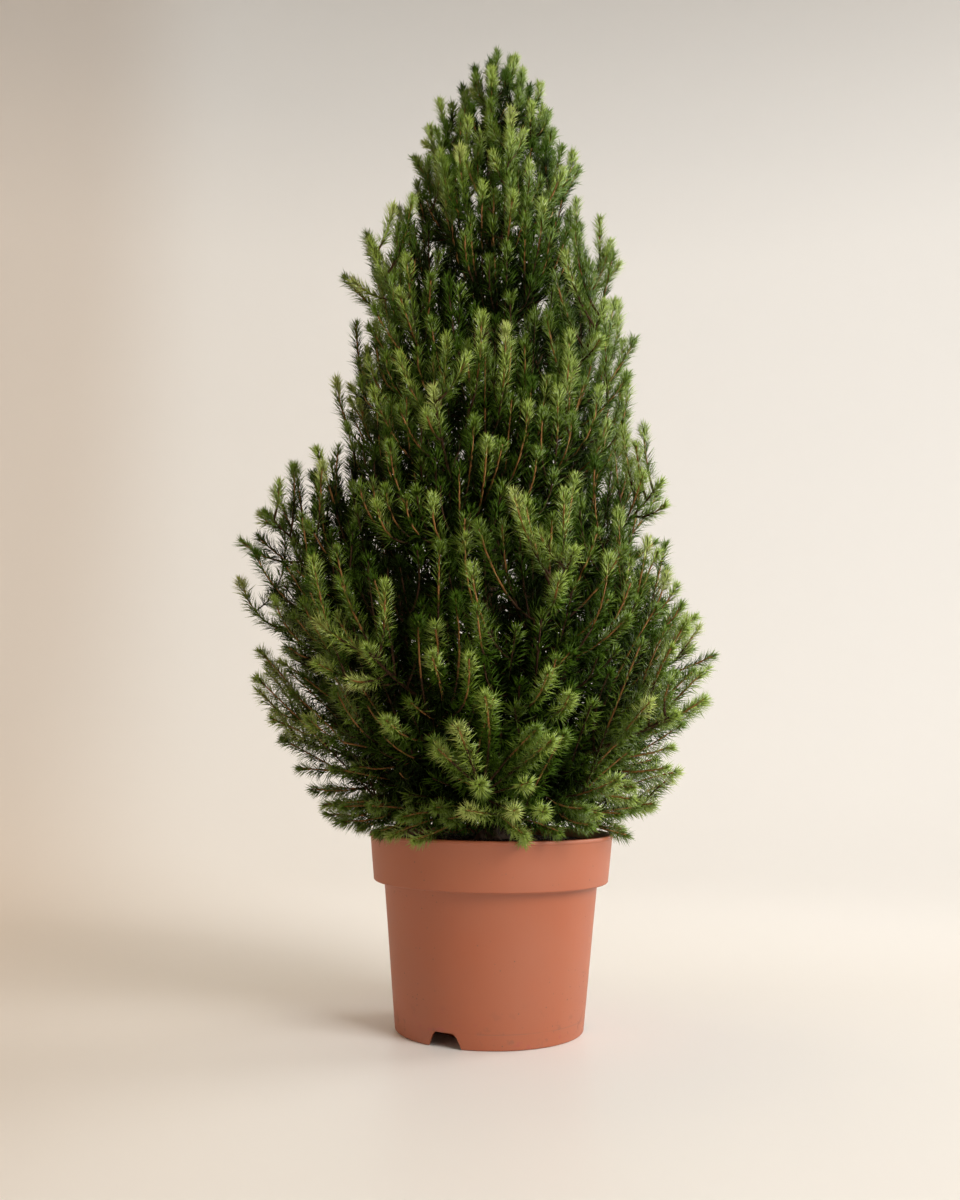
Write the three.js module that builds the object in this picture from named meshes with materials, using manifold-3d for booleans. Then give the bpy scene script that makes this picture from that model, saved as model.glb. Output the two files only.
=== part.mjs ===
// A potted dwarf Alberta spruce: a plastic nursery pot filled with soil, one leaning trunk, boughs set on it
// in a spiral, and a mass of foliage at the end of each bough.
//
// Millimetres, +Z up. The origin is the middle of the pot's flat underside, and -Y is the tree's front.
// Each bough and its foliage follow one curve out of the trunk. A point of the crown belongs to the bough
// whose curve is nearest, so no mass of foliage can reach into another.

import * as THREE from "three";
import { mergeVertices } from "three/addons/utils/BufferGeometryUtils.js";
import Module from "manifold-3d";

const wasm = await Module();
wasm.setup();

// ---- Driving dimensions ----

const pot = {
  rimRadius: 105,
  height: 163,
  bandHeight: 39.5, // the wide band under the rim
  bandBottomRadius: 100.6,
  bodyTopRadius: 91.4,
  baseRadius: 79.9,
  wall: 1.8,
  bead: 0.8, // how far the lip stands out of the band
  beadHeight: 3.2,
  floorLift: 12.5, // the floor's underside over the drainage channel
  hubRadius: 46, // the middle of the floor, which stands on the ground with the foot ring
  segments: 40,
};
const notches = { count: 3, firstAzimuth: -117, bottomWidth: 31, topWidth: 20, height: 12 };
const drains = { count: 6, radius: 5, circle: 65, firstAzimuth: -87, sides: 12 };
const soil = { edgeLevel: 153.5, middleLevel: 157, middleRadius: 30, gap: 0.3 };

const trunk = {
  flareRadius: 14,
  flareHeight: 26,
  flareLobes: 0.14, // how far the roots' lobes stand out of the flare
  footRadius: 9,
  tipRadius: 2.2,
  tipHeight: 800,
  leaderTip: 870, // the end of the leader's stem, under its last needles
  leanX: -9, // how far the tip stands off the foot
  bow: 5, // how far the middle bends sideways
  sides: 10,
  rings: 14,
};

// The crown's outline: [height, reach] at its left, where X is least, and at its right.
const crownLeft = [
  [150, 128], [200, 165], [260, 199], [345, 232], [400, 230], [455, 200], [520, 163],
  [600, 148], [655, 146], [750, 94], [830, 60], [890, 16],
];
const crownRight = [
  [150, 112], [200, 150], [250, 188], [300, 204], [345, 198], [400, 176], [455, 158],
  [520, 142], [625, 138], [740, 88], [830, 56], [890, 14],
];

const boughs = {
  count: 26,
  firstAzimuth: 352,
  lowestTip: 186, // heights of the foliage's ends
  highestTip: 826,
  crowding: 1.32, // above 1, the boughs stand closer together low down
  lowestRise: 6, // from a bough's foot to the end of its foliage
  highestRise: 124,
  sag: 0.26, // how late the curve turns up
  woodShare: 0.24, // of the curve, from the trunk to where the foliage begins
  lowestRadius: 4.2,
  highestRadius: 2.4,
  tipTaper: 0.6,
  sides: 5,
  rings: 4,
};
const goldenAngle = 137.508;

const foliage = {
  shootsTried: 120,
  shootsKept: 7,
  shootSpacing: 24,
  shootLength: [0.5, 0.72], // of the limb's curve
  bareShare: 0.3, // of a shoot, with no needles, mostly inside the core
  shootSpread: 62, // degrees between a shoot's root and the stem
  lowestHeading: 8, // a shoot's own end, in degrees above level
  highestHeading: 84,
  headingHeight: 330, // over which the shoots turn from the lowest heading to the highest
  coreStart: 0.02, // of the curve, between the wood's end and the core
  coreEnd: 0.84,
  coreGirth: 0.19, // its greatest radius, of the limb's curve
  coreShare: 0.86, // of the room on each side of the stem
  coreReach: 0.84, // of the crown's reach
  coreLeast: 2.2,
  coreSides: 5,
  coreRings: 4,
  tuft: 26, // the length of the sprays that stand out of the core
  stemRadius: 1.7,
  shootRadius: 3.6,
  shootTiers: 2,
  needle: 21,
  needleSweep: 40, // degrees between a needle and its shoot
  clearance: 0.9,
  rimClearance: 7,
};

const colours = {
  pot: 0xa5603f,
  soil: 0x33241b,
  bark: 0x6b4a34,
  needles: [0x2f5a24, 0x37662a, 0x295220],
};

// ---- Small tools ----

const radians = THREE.MathUtils.degToRad;
const mix = THREE.MathUtils.lerp;
const up = new THREE.Vector3(0, 0, 1);

/** A repeatable stream of numbers from 0 to 1. */
function seeded(seed) {
  let state = seed >>> 0;
  return () => {
    state = (state + 0x6d2b79f5) | 0;
    let t = Math.imul(state ^ (state >>> 15), 1 | state);
    t = (t + Math.imul(t ^ (t >>> 7), 61 | t)) ^ t;
    return ((t ^ (t >>> 14)) >>> 0) / 4294967296;
  };
}

/** The value at x on the straight lines through [x, value] pairs. */
function along(pairs, x) {
  const next = pairs.findIndex(([at]) => at > x);
  if (next < 0) return pairs.at(-1)[1];
  if (next === 0) return pairs[0][1];
  const [[x0, v0], [x1, v1]] = pairs.slice(next - 1, next + 1);
  return mix(v0, v1, (x - x0) / (x1 - x0));
}

/** A level direction; azimuth 0 is +X and 90 is +Y. */
function level(azimuth) {
  return new THREE.Vector3(Math.cos(radians(azimuth)), Math.sin(radians(azimuth)), 0);
}

/** A geometry from points and triangles of their indices. */
function geometryOf(points, triangles) {
  const geometry = new THREE.BufferGeometry().setFromPoints(points);
  geometry.setIndex(triangles.flat());
  return geometry;
}

/** The solid of a closed geometry. */
function solidOf(geometry) {
  const bare = geometry.clone().deleteAttribute("normal").deleteAttribute("uv");
  const merged = mergeVertices(bare, 1e-4);
  return new wasm.Manifold(
    new wasm.Mesh({
      numProp: 3,
      vertProperties: merged.attributes.position.array,
      triVerts: new Uint32Array(merged.index.array),
    }),
  );
}

/** The geometry of a solid. */
function geometryOfSolid(solid) {
  const { vertProperties, triVerts } = solid.getMesh();
  return new THREE.BufferGeometry()
    .setAttribute("position", new THREE.BufferAttribute(new Float32Array(vertProperties), 3))
    .setIndex(new THREE.BufferAttribute(new Uint32Array(triVerts), 1));
}

/** Rings of points round a path, each in the plane across it. radiusAt gets the ring and the side. */
function ringsRound(path, sides, radiusAt, turn = 0) {
  return path.map((centre, ring) => {
    const before = path[Math.max(ring - 1, 0)];
    const after = path[Math.min(ring + 1, path.length - 1)];
    const forward = after.clone().sub(before).normalize();
    const side = new THREE.Vector3(1, 0, 0).addScaledVector(forward, -forward.x);
    if (side.length() < 0.3) side.set(0, 1, 0).addScaledVector(forward, -forward.y);
    side.normalize();
    const other = forward.clone().cross(side);
    return Array.from({ length: sides }, (_, k) => {
      const angle = (2 * Math.PI * k) / sides + turn * ring;
      const radius = radiusAt(ring, k);
      return centre
        .clone()
        .addScaledVector(side, radius * Math.cos(angle))
        .addScaledVector(other, radius * Math.sin(angle));
    });
  });
}

/** The points and triangles of a closed tube over rings. A tip, where given, closes its far end in a point. */
function tube(rings, tip = null) {
  const sides = rings[0].length;
  const points = rings.flat();
  const triangles = [];
  for (let ring = 0; ring + 1 < rings.length; ring++)
    for (let k = 0; k < sides; k++) {
      const a = ring * sides + k;
      const b = ring * sides + ((k + 1) % sides);
      triangles.push([a, b, a + sides], [b, b + sides, a + sides]);
    }
  const last = (rings.length - 1) * sides;
  for (let k = 1; k + 1 < sides; k++) triangles.push([0, k + 1, k]);
  if (tip) {
    points.push(tip);
    for (let k = 0; k < sides; k++) triangles.push([last + k, last + ((k + 1) % sides), points.length - 1]);
  } else {
    for (let k = 1; k + 1 < sides; k++) triangles.push([last, last + k, last + k + 1]);
  }
  return { points, triangles };
}

/** Distance from a point to a line through points. */
function distanceToPath(point, path) {
  const nearest = new THREE.Vector3();
  const piece = new THREE.Line3();
  let least = Infinity;
  for (let i = 0; i + 1 < path.length; i++) {
    piece.set(path[i], path[i + 1]).closestPointToPoint(point, true, nearest);
    least = Math.min(least, nearest.distanceTo(point));
  }
  return least;
}

// ---- Pot and soil ----

/** The pot's wall radius, outside, at a height on the body under the band. */
function bodyRadius(height) {
  return mix(pot.baseRadius, pot.bodyTopRadius, height / (pot.height - pot.bandHeight));
}

/** The pot: foot ring, raised drainage channel, hub, body, band and beaded lip, with notches and drains cut. */
function makePot() {
  const { wall, floorLift, hubRadius, height } = pot;
  const shelf = height - pot.bandHeight;
  const lipBase = height - pot.beadHeight;
  const ramp = 6; // from the hub up to the drainage channel
  const bandTop = pot.rimRadius - pot.bead;
  const profile = [
    [0, 0],
    [hubRadius, 0],
    [hubRadius + ramp, floorLift],
    [bodyRadius(floorLift) - wall - 1, floorLift],
    [pot.baseRadius - wall, 0],
    [pot.baseRadius - 0.6, 0],
    [pot.baseRadius, 1],
    [bodyRadius(shelf), shelf - 1],
    [pot.bandBottomRadius - 1.2, shelf - 1],
    [pot.bandBottomRadius, shelf + 0.4],
    [bandTop, lipBase],
    [pot.rimRadius, lipBase + 0.6],
    [pot.rimRadius, height - 0.6],
    [pot.rimRadius - 0.6, height],
    [bandTop - wall, height],
    [pot.bandBottomRadius - wall, shelf + wall],
    [bodyRadius(shelf) - wall, shelf + wall - 1],
    [bodyRadius(floorLift + wall) - wall, floorLift + wall],
    [hubRadius + ramp - 1, floorLift + wall],
    [hubRadius - 1, wall],
    [0, wall],
  ].map(([radius, z]) => new THREE.Vector2(radius, z));
  const lathe = new THREE.LatheGeometry(profile, pot.segments).rotateX(Math.PI / 2);
  let solid = solidOf(lathe);
  for (let k = 0; k < notches.count; k++) solid = solid.subtract(notchCutter(k));
  for (let k = 0; k < drains.count; k++) solid = solid.subtract(drainCutter(k));
  return geometryOfSolid(solid);
}

/** A trapezium block across the foot ring, for one of the notches. */
function notchCutter(index) {
  const { bottomWidth, topWidth, height } = notches;
  const corner = 3;
  const outline = new THREE.Shape();
  outline.moveTo(-bottomWidth / 2, -1);
  outline.lineTo(bottomWidth / 2, -1);
  outline.lineTo(topWidth / 2 + corner / 3, height - corner);
  outline.quadraticCurveTo(topWidth / 2, height, topWidth / 2 - corner, height);
  outline.lineTo(-topWidth / 2 + corner, height);
  outline.quadraticCurveTo(-topWidth / 2, height, -topWidth / 2 - corner / 3, height - corner);
  const block = new THREE.ExtrudeGeometry(outline, { depth: 20, bevelEnabled: false, curveSegments: 3 });
  const azimuth = notches.firstAzimuth + (360 / notches.count) * index;
  block
    .rotateX(Math.PI / 2)
    .translate(0, 10, 0)
    .rotateZ(radians(azimuth + 90))
    .translate(...level(azimuth).multiplyScalar(pot.baseRadius).toArray());
  return solidOf(block);
}

/** A drainage hole through the raised channel. */
function drainCutter(index) {
  const azimuth = drains.firstAzimuth + (360 / drains.count) * index;
  const hole = new THREE.CylinderGeometry(drains.radius, drains.radius, 12, drains.sides)
    .rotateX(Math.PI / 2)
    .translate(0, 0, pot.floorLift)
    .translate(...level(azimuth).multiplyScalar(drains.circle).toArray());
  return solidOf(hole);
}

/** The soil: it fills the pot up to a low mound round the trunk. */
function makeSoil() {
  const { gap, edgeLevel, middleLevel, middleRadius } = soil;
  const shelf = pot.height - pot.bandHeight;
  const inside = pot.wall + gap;
  const bandShare = (edgeLevel - shelf) / (pot.bandHeight - pot.beadHeight);
  const bandRadius = mix(pot.bandBottomRadius, pot.rimRadius - pot.bead, bandShare);
  const profile = [
    [0, inside],
    [pot.hubRadius - 1.2, inside],
    [pot.hubRadius + 4.8, pot.floorLift + inside],
    [bodyRadius(pot.floorLift + inside) - inside - 0.2, pot.floorLift + inside],
    [bodyRadius(shelf) - inside - 0.2, shelf + inside - 0.8],
    [pot.bandBottomRadius - inside - 0.4, shelf + inside + 0.2],
    [bandRadius - inside - 0.2, edgeLevel],
    [80, mix(edgeLevel, middleLevel, 0.35)],
    [52, mix(edgeLevel, middleLevel, 0.6)],
    [middleRadius, middleLevel],
    [0, middleLevel],
  ].map(([radius, z]) => new THREE.Vector2(radius, z));
  return new THREE.LatheGeometry(profile, pot.segments / 2).rotateX(Math.PI / 2);
}

// ---- Trunk ----

const groundLevel = soil.middleLevel + soil.gap;

/** The trunk's centre at a height. */
function trunkCentre(height) {
  const share = (height - groundLevel) / (trunk.tipHeight - groundLevel);
  return new THREE.Vector3(trunk.leanX * share, trunk.bow * Math.sin(Math.PI * share), height);
}

/** The trunk's radius at a height, root flare included. */
function trunkRadius(height) {
  const share = (height - groundLevel) / (trunk.tipHeight - groundLevel);
  const flare = Math.max(0, 1 - (height - groundLevel) / trunk.flareHeight);
  return mix(trunk.footRadius, trunk.tipRadius, share) + (trunk.flareRadius - trunk.footRadius) * flare ** 2;
}

/** Heights of the trunk's rings, closer together in the flare. */
function trunkHeights() {
  return Array.from({ length: trunk.rings }, (_, ring) => {
    const share = ring / (trunk.rings - 1);
    return mix(groundLevel, trunk.tipHeight, share ** 1.7);
  });
}

/** The trunk with a flat foot. spare widens it, to cut the boughs' roots to its bark. */
function makeTrunk(spare = 0) {
  const heights = trunkHeights();
  const rings = heights.map((height, ring) => {
    const flare = Math.max(0, 1 - (height - groundLevel) / trunk.flareHeight);
    return Array.from({ length: trunk.sides }, (_, k) => {
      const azimuth = (360 * k) / trunk.sides;
      const lobe = 1 + trunk.flareLobes * flare * Math.cos(5 * radians(azimuth) + ring);
      return trunkCentre(height).addScaledVector(level(azimuth), trunkRadius(height) * lobe + spare);
    });
  });
  const { points, triangles } = tube(rings);
  return geometryOf(points, triangles);
}

// ---- Boughs ----

/** How far the crown reaches from its axis at a height, in the direction of an azimuth. */
function crownReach(height, azimuth) {
  const share = (1 + Math.cos(radians(azimuth))) / 2;
  return mix(along(crownLeft, height), along(crownRight, height), share);
}

/** One bough's curve, from the trunk's middle to the tip of its foliage. */
function boughOf(index) {
  const random = seeded(1000 + index);
  const share = index / (boughs.count - 1);
  const azimuth = boughs.firstAzimuth + goldenAngle * index + mix(-9, 9, random());
  const tipHeight = mix(boughs.lowestTip, boughs.highestTip, share ** boughs.crowding);
  const rise = mix(boughs.lowestRise, boughs.highestRise, Math.min(1, share * 1.7));
  const footHeight = tipHeight - rise * mix(0.85, 1.15, random());
  const reach = crownReach(tipHeight, azimuth) * mix(0.92, 1, random());
  const foot = trunkCentre(footHeight);
  const tip = level(azimuth).multiplyScalar(reach).setZ(tipHeight);
  const bend = foot.clone().lerp(tip, 0.6).setZ(mix(footHeight, tipHeight, boughs.sag));
  return {
    index,
    random,
    curve: new THREE.QuadraticBezierCurve3(foot, bend, tip),
    woodShare: boughs.woodShare,
    radius: mix(boughs.lowestRadius, boughs.highestRadius, share),
  };
}

/** The leader: the upright top of the tree, which carries on from the trunk's tip. */
function leaderOf() {
  const foot = trunkCentre(trunk.tipHeight).setZ(trunk.tipHeight + soil.gap);
  const tip = new THREE.Vector3(trunk.leanX, 0, trunk.leaderTip);
  const curve = new THREE.QuadraticBezierCurve3(foot, foot.clone().lerp(tip, 0.5), tip);
  return { index: boughs.count, random: seeded(900), curve, woodShare: 0, radius: trunk.tipRadius };
}

const limbs = [...Array.from({ length: boughs.count }, (_, index) => boughOf(index)), leaderOf()];
const pathSteps = 18;
for (const limb of limbs) limb.path = limb.curve.getPoints(pathSteps);

/** The points of a limb's curve between two shares of it. */
function stretch(limb, from, to, count) {
  return Array.from({ length: count }, (_, i) => limb.curve.getPoint(mix(from, to, i / (count - 1))));
}

/** A bough's wood: one tapering limb, its root cut to the trunk's bark. */
function makeBough(limb, trunkAndGap) {
  const path = stretch(limb, 0, limb.woodShare, boughs.rings);
  const radiusAt = (ring) => limb.radius * mix(1, boughs.tipTaper, ring / (boughs.rings - 1));
  const { points, triangles } = tube(ringsRound(path, boughs.sides, radiusAt));
  const whole = solidOf(geometryOf(points, triangles)).subtract(trunkAndGap);
  const pieces = whole.decompose().sort((a, b) => b.volume() - a.volume());
  return geometryOfSolid(pieces[0]);
}

// ---- Foliage ----

/** Whether a point lies in a limb's own space, clear of the other limbs, the trunk and the pot. */
function hasRoom(limb, point, spare = 0) {
  const clear = foliage.clearance + spare;
  const { rimClearance } = foliage;
  const overRim = Math.hypot(point.x, point.y) < pot.rimRadius + rimClearance;
  if (overRim && point.z < pot.height + rimClearance) return false;
  if (point.z < trunk.tipHeight + clear) {
    const centre = trunkCentre(point.z);
    if (Math.hypot(point.x - centre.x, point.y - centre.y) < trunkRadius(point.z) + clear) return false;
  }
  const own = distanceToPath(point, limb.path);
  return limbs.every((other) => {
    if (other === limb) return true;
    const away = distanceToPath(point, other.path);
    return away > own + 2 * clear && away > other.radius + clear;
  });
}

/** Whether a point lies inside a share of the crown's reach. */
function insideCrown(point, share) {
  const azimuth = THREE.MathUtils.radToDeg(Math.atan2(point.y, point.x));
  return Math.hypot(point.x, point.y) < crownReach(point.z, azimuth) * share;
}

/** Draws faces out into spikes. spikeAt gets a face's index, middle and outward direction and gives a tip. */
function withSpikes({ points, triangles }, spikeAt) {
  const drawn = [...points];
  const faces = triangles.flatMap((corners, face) => {
    const [a, b, c] = corners.map((i) => points[i]);
    const middle = a.clone().add(b).add(c).divideScalar(3);
    const outward = b.clone().sub(a).cross(c.clone().sub(a)).normalize();
    const tip = spikeAt(face, middle, outward);
    if (!tip) return [corners];
    const top = drawn.push(tip) - 1;
    return corners.map((from, k) => [from, corners[(k + 1) % 3], top]);
  });
  return solidOf(geometryOf(drawn, faces));
}

/** How far a limb's own space goes from a point, in steps of 2 mm up to a limit. */
function roomFrom(limb, start, direction, limit) {
  const step = 2;
  const point = start.clone();
  let reached = 0;
  while (reached < limit) {
    point.addScaledVector(direction, step);
    if (!hasRoom(limb, point, 1) || !insideCrown(point, foliage.coreReach)) break;
    reached += step;
  }
  return reached;
}

/** The dense middle of a mass. It fills most of the room round its stem, and sprays stand out of it. */
function makeCore(limb) {
  const { coreRings, coreSides, coreShare, tuft } = foliage;
  const girth = foliage.coreGirth * limb.curve.getLength();
  const path = stretch(limb, limb.woodShare + foliage.coreStart, foliage.coreEnd, coreRings);
  const unit = ringsRound(path, coreSides, () => 1, 0.4);
  const rings = unit.map((ring, i) => {
    const swell = Math.sin(Math.PI * mix(0.14, 0.86, i / (coreRings - 1)));
    return ring.map((point) => {
      const direction = point.clone().sub(path[i]);
      const room = roomFrom(limb, path[i], direction, girth * swell) * coreShare;
      const radius = Math.max(foliage.coreLeast, room * mix(0.8, 1, limb.random()));
      return path[i].clone().addScaledVector(direction, radius);
    });
  });
  return withSpikes(tube(rings, limb.curve.getPoint(0.9)), (face, middle, outward) => {
    if (face % 2 === 0 || face >= coreSides * 2 * (coreRings - 1)) return null;
    const aim = outward.add(shootHeading(middle)).normalize();
    const tip = middle.clone().addScaledVector(aim, tuft * mix(0.8, 1.2, limb.random()));
    return hasRoom(limb, tip) && insideCrown(tip, 1) ? tip : null;
  });
}

/** The stem of a mass, from 0.3 mm past the wood to near the tip. */
function makeStem(limb) {
  const length = limb.curve.getLength();
  const path = stretch(limb, limb.woodShare + (limb.woodShare ? soil.gap / length : 0), 0.9, 4);
  const thickest = limb.radius * (limb.woodShare ? boughs.tipTaper : 1);
  const radiusAt = (ring) => mix(thickest, 1, ring / 3);
  const { points, triangles } = tube(ringsRound(path, 3, radiusAt), limb.curve.getPoint(0.98));
  return solidOf(geometryOf(points, triangles));
}

/** The direction that a shoot ends up in: outwards low in the crown, and nearly straight up higher. */
function shootHeading(root) {
  const crownShare = THREE.MathUtils.clamp((root.z - pot.height) / foliage.headingHeight, 0, 1);
  const heading = radians(mix(foliage.lowestHeading, foliage.highestHeading, crownShare));
  const outward = root.clone().setZ(0).normalize();
  return outward.multiplyScalar(Math.cos(heading)).addScaledVector(up, Math.sin(heading));
}

/** The path of one shoot: it leaves the stem at a slant and bends to its own heading. */
function shootPath(limb, share, roll, length) {
  const root = limb.curve.getPoint(share);
  const forward = limb.curve.getTangent(share);
  const across = forward.clone().cross(up).normalize().applyAxisAngle(forward, radians(roll));
  const slant = radians(foliage.shootSpread);
  const leaves = forward.multiplyScalar(Math.cos(slant)).addScaledVector(across, Math.sin(slant));
  const elbow = root.clone().addScaledVector(leaves, length * 0.5);
  const bent = shootHeading(root).lerp(leaves, 0.3).normalize();
  return new THREE.QuadraticBezierCurve3(root, elbow, elbow.clone().addScaledVector(bent, length * 0.5));
}

/** A shoot: a slim three-sided core that needles stand out of, on a bare twig. */
function makeShoot(limb, curve, bareShare) {
  const { shootTiers, shootRadius, stemRadius, needle } = foliage;
  const path = [0, ...Array.from({ length: shootTiers + 1 }, (_, i) => mix(bareShare, 0.93, i / shootTiers))];
  const radiusAt = (ring) => (ring === 0 ? stemRadius : shootRadius * (ring === 1 ? 0.6 : 1 - 0.1 * ring));
  const rings = ringsRound(path.map((share) => curve.getPoint(share)), 3, radiusAt, 1);
  const bareFaces = 6;
  const endFaces = bareFaces * (shootTiers + 1); // the twig's butt comes first among them
  const sweep = radians(foliage.needleSweep);
  return withSpikes(tube(rings, curve.getPoint(1)), (face, middle, outward) => {
    const plain = (face + Math.floor(face / bareFaces)) % 2 === 0;
    if (face < bareFaces || face === endFaces || plain) return null;
    const band = Math.min(Math.floor(face / bareFaces), shootTiers);
    const forward = curve.getTangent(path[band]);
    const aim = forward.multiplyScalar(Math.cos(sweep)).addScaledVector(outward, Math.sin(sweep));
    const tip = middle.clone().addScaledVector(aim, needle * mix(0.85, 1.15, limb.random()));
    return hasRoom(limb, tip) ? tip : null;
  });
}

/** A mass of foliage: stem and core, with shoots that keep to the limb's space, clear of trunk and pot. */
function makeMass(limb, keepOut) {
  const lastStretch = [0.6, 0.8, 1].map((share) => limb.curve.getPoint(share));
  const endShoot = new THREE.QuadraticBezierCurve3(...lastStretch);
  let solid = makeStem(limb).add(makeCore(limb)).add(makeShoot(limb, endShoot, 0.3));
  const taken = endShoot.getPoints(4).slice(1);
  let kept = 0;
  for (let tried = 0; tried < foliage.shootsTried && kept < foliage.shootsKept; tried++) {
    const share = mix(limb.woodShare + 0.12, 0.8, ((tried * 4) % 9) / 8);
    const length = mix(...foliage.shootLength, limb.random()) * mix(1.1, 0.75, share);
    const curve = shootPath(limb, share, goldenAngle * tried + 90, length * limb.curve.getLength());
    const outer = [0.5, 0.65, 0.8, 0.9, 1].map((at) => curve.getPoint(at));
    const fits = outer.every((point) => hasRoom(limb, point, 3));
    const apart = outer.every((point) => taken.every((other) => point.distanceTo(other) > foliage.shootSpacing));
    if (!fits || !apart || !insideCrown(curve.getPoint(1), 1)) continue;
    taken.push(...outer);
    solid = solid.add(makeShoot(limb, curve, foliage.bareShare));
    kept++;
  }
  const pieces = solid.subtract(keepOut).decompose().sort((a, b) => b.volume() - a.volume());
  return geometryOfSolid(pieces[0]);
}

// ---- The whole plant ----

/** A named mesh in its own finish. */
function mesh(name, geometry, color, roughness) {
  const made = new THREE.Mesh(geometry, new THREE.MeshStandardMaterial({ color, roughness, metalness: 0 }));
  made.name = name;
  return made;
}

/** Two digits, so that names sort from the lowest bough up. */
function numbered(name, index) {
  return `${name}_${String(index + 1).padStart(2, "0")}`;
}

const plant = new THREE.Group();
plant.add(mesh("pot", makePot(), colours.pot, 0.45));
plant.add(mesh("soil", makeSoil(), colours.soil, 0.95));
plant.add(mesh("trunk", makeTrunk(), colours.bark, 0.85));

const trunkAndGap = solidOf(makeTrunk(soil.gap));
const potAndGap = new THREE.CylinderGeometry(pot.rimRadius + 1, pot.rimRadius + 1, pot.height, pot.segments)
  .rotateX(Math.PI / 2)
  .translate(0, 0, pot.height / 2 + 1);
const keepOut = trunkAndGap.add(solidOf(potAndGap));
for (const limb of limbs) {
  const needles = colours.needles[limb.index % colours.needles.length];
  if (limb.woodShare) {
    plant.add(mesh(numbered("bough", limb.index), makeBough(limb, trunkAndGap), colours.bark, 0.85));
    plant.add(mesh(numbered("foliage", limb.index), makeMass(limb, keepOut), needles, 0.6));
  } else {
    plant.add(mesh("foliage_leader", makeMass(limb, keepOut), needles, 0.6));
  }
}

export default plant;
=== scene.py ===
"""A potted dwarf spruce: the finished surfaces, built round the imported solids.

Metres, +Z up, with the origin at the middle of the pot's flat underside and -Y as the tree's front.
The limbs follow the same curves as the solids, and the foliage grows on from them by the same rule,
carried to finer twigs: a shoot leaves its parent at a slant, bends to the heading of its height, and
keeps to the space that lies nearer to its own limb than to any other.
"""

from __future__ import annotations

import logging
import math
from dataclasses import dataclass, field
from enum import Enum, IntEnum
from functools import partial
from typing import Sequence

import bmesh
import bpy
import numpy as np
from mathutils import Matrix, Vector, noise


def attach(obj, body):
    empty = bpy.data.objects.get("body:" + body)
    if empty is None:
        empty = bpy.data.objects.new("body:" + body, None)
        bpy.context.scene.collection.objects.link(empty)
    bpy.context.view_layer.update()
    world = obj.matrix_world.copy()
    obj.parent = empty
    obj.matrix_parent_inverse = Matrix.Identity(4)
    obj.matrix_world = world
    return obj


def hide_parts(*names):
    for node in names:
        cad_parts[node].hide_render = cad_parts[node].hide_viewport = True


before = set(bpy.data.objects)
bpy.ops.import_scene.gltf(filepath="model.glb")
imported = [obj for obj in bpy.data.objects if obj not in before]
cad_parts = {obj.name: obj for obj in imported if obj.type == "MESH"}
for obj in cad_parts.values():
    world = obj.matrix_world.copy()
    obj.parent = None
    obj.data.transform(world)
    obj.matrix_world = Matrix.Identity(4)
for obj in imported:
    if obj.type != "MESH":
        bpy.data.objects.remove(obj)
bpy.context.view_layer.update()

logging.basicConfig(level=logging.INFO, format="%(message)s")
LOG = logging.getLogger("spruce")

Array = np.ndarray
MM = 0.001
UP = np.array([0.0, 0.0, 1.0])
GOLDEN_ANGLE = 137.508
BODY = "root"


# ---- Sizes shared with the solids ----


@dataclass(frozen=True)
class PotSizes:
    """The nursery pot's sizes, in metres and degrees."""

    rim_radius: float = 105 * MM
    height: float = 163 * MM
    band_height: float = 39.5 * MM
    band_bottom_radius: float = 100.6 * MM
    body_top_radius: float = 91.4 * MM
    base_radius: float = 79.9 * MM
    wall: float = 1.8 * MM
    bead: float = 0.8 * MM
    bead_height: float = 3.2 * MM
    floor_lift: float = 12.5 * MM
    hub_radius: float = 46 * MM
    ramp: float = 6 * MM
    notch_count: int = 3
    notch_azimuth: float = -117
    notch_bottom: float = 31 * MM
    notch_top: float = 20 * MM
    notch_height: float = 12 * MM
    drain_count: int = 6
    drain_azimuth: float = -87
    drain_radius: float = 5 * MM
    drain_circle: float = 65 * MM

    @property
    def shelf(self) -> float:
        """The height of the band's lower edge."""
        return self.height - self.band_height

    def body_radius(self, height: float) -> float:
        """The wall's outer radius at a height under the band."""
        return mix(self.base_radius, self.body_top_radius, height / self.shelf)


@dataclass(frozen=True)
class SoilSizes:
    """The levels of the potting soil, in metres."""

    edge_level: float = 153.5 * MM
    middle_level: float = 157 * MM
    gap: float = 0.3 * MM


@dataclass(frozen=True)
class TrunkSizes:
    """The trunk's foot, taper, lean and tip, in metres."""

    flare_radius: float = 14 * MM
    flare_height: float = 26 * MM
    flare_lobes: float = 0.14
    foot_radius: float = 9 * MM
    tip_radius: float = 2.2 * MM
    foot_height: float = 157.3 * MM
    tip_height: float = 800 * MM
    leader_tip: float = 878 * MM
    lean_x: float = -9 * MM
    bow: float = 5 * MM


@dataclass(frozen=True)
class BoughSizes:
    """How the boughs are set on the trunk and how they taper, in metres and degrees."""

    count: int = 26
    first_seed: int = 1000
    first_azimuth: float = 352
    azimuth_wander: float = 9
    lowest_tip: float = 186 * MM
    highest_tip: float = 826 * MM
    crowding: float = 1.32
    lowest_rise: float = 6 * MM
    highest_rise: float = 124 * MM
    rise_growth: float = 1.7  # how fast the rise comes to its highest
    rise_wander: float = 0.15
    least_reach: float = 0.92  # as a share of the crown's outline
    bend: float = 0.6  # where a limb bends, as a share of the way to its tip
    sag: float = 0.26
    wood_share: float = 0.24
    lowest_radius: float = 4.2 * MM
    highest_radius: float = 2.4 * MM
    tip_taper: float = 0.6


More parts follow.
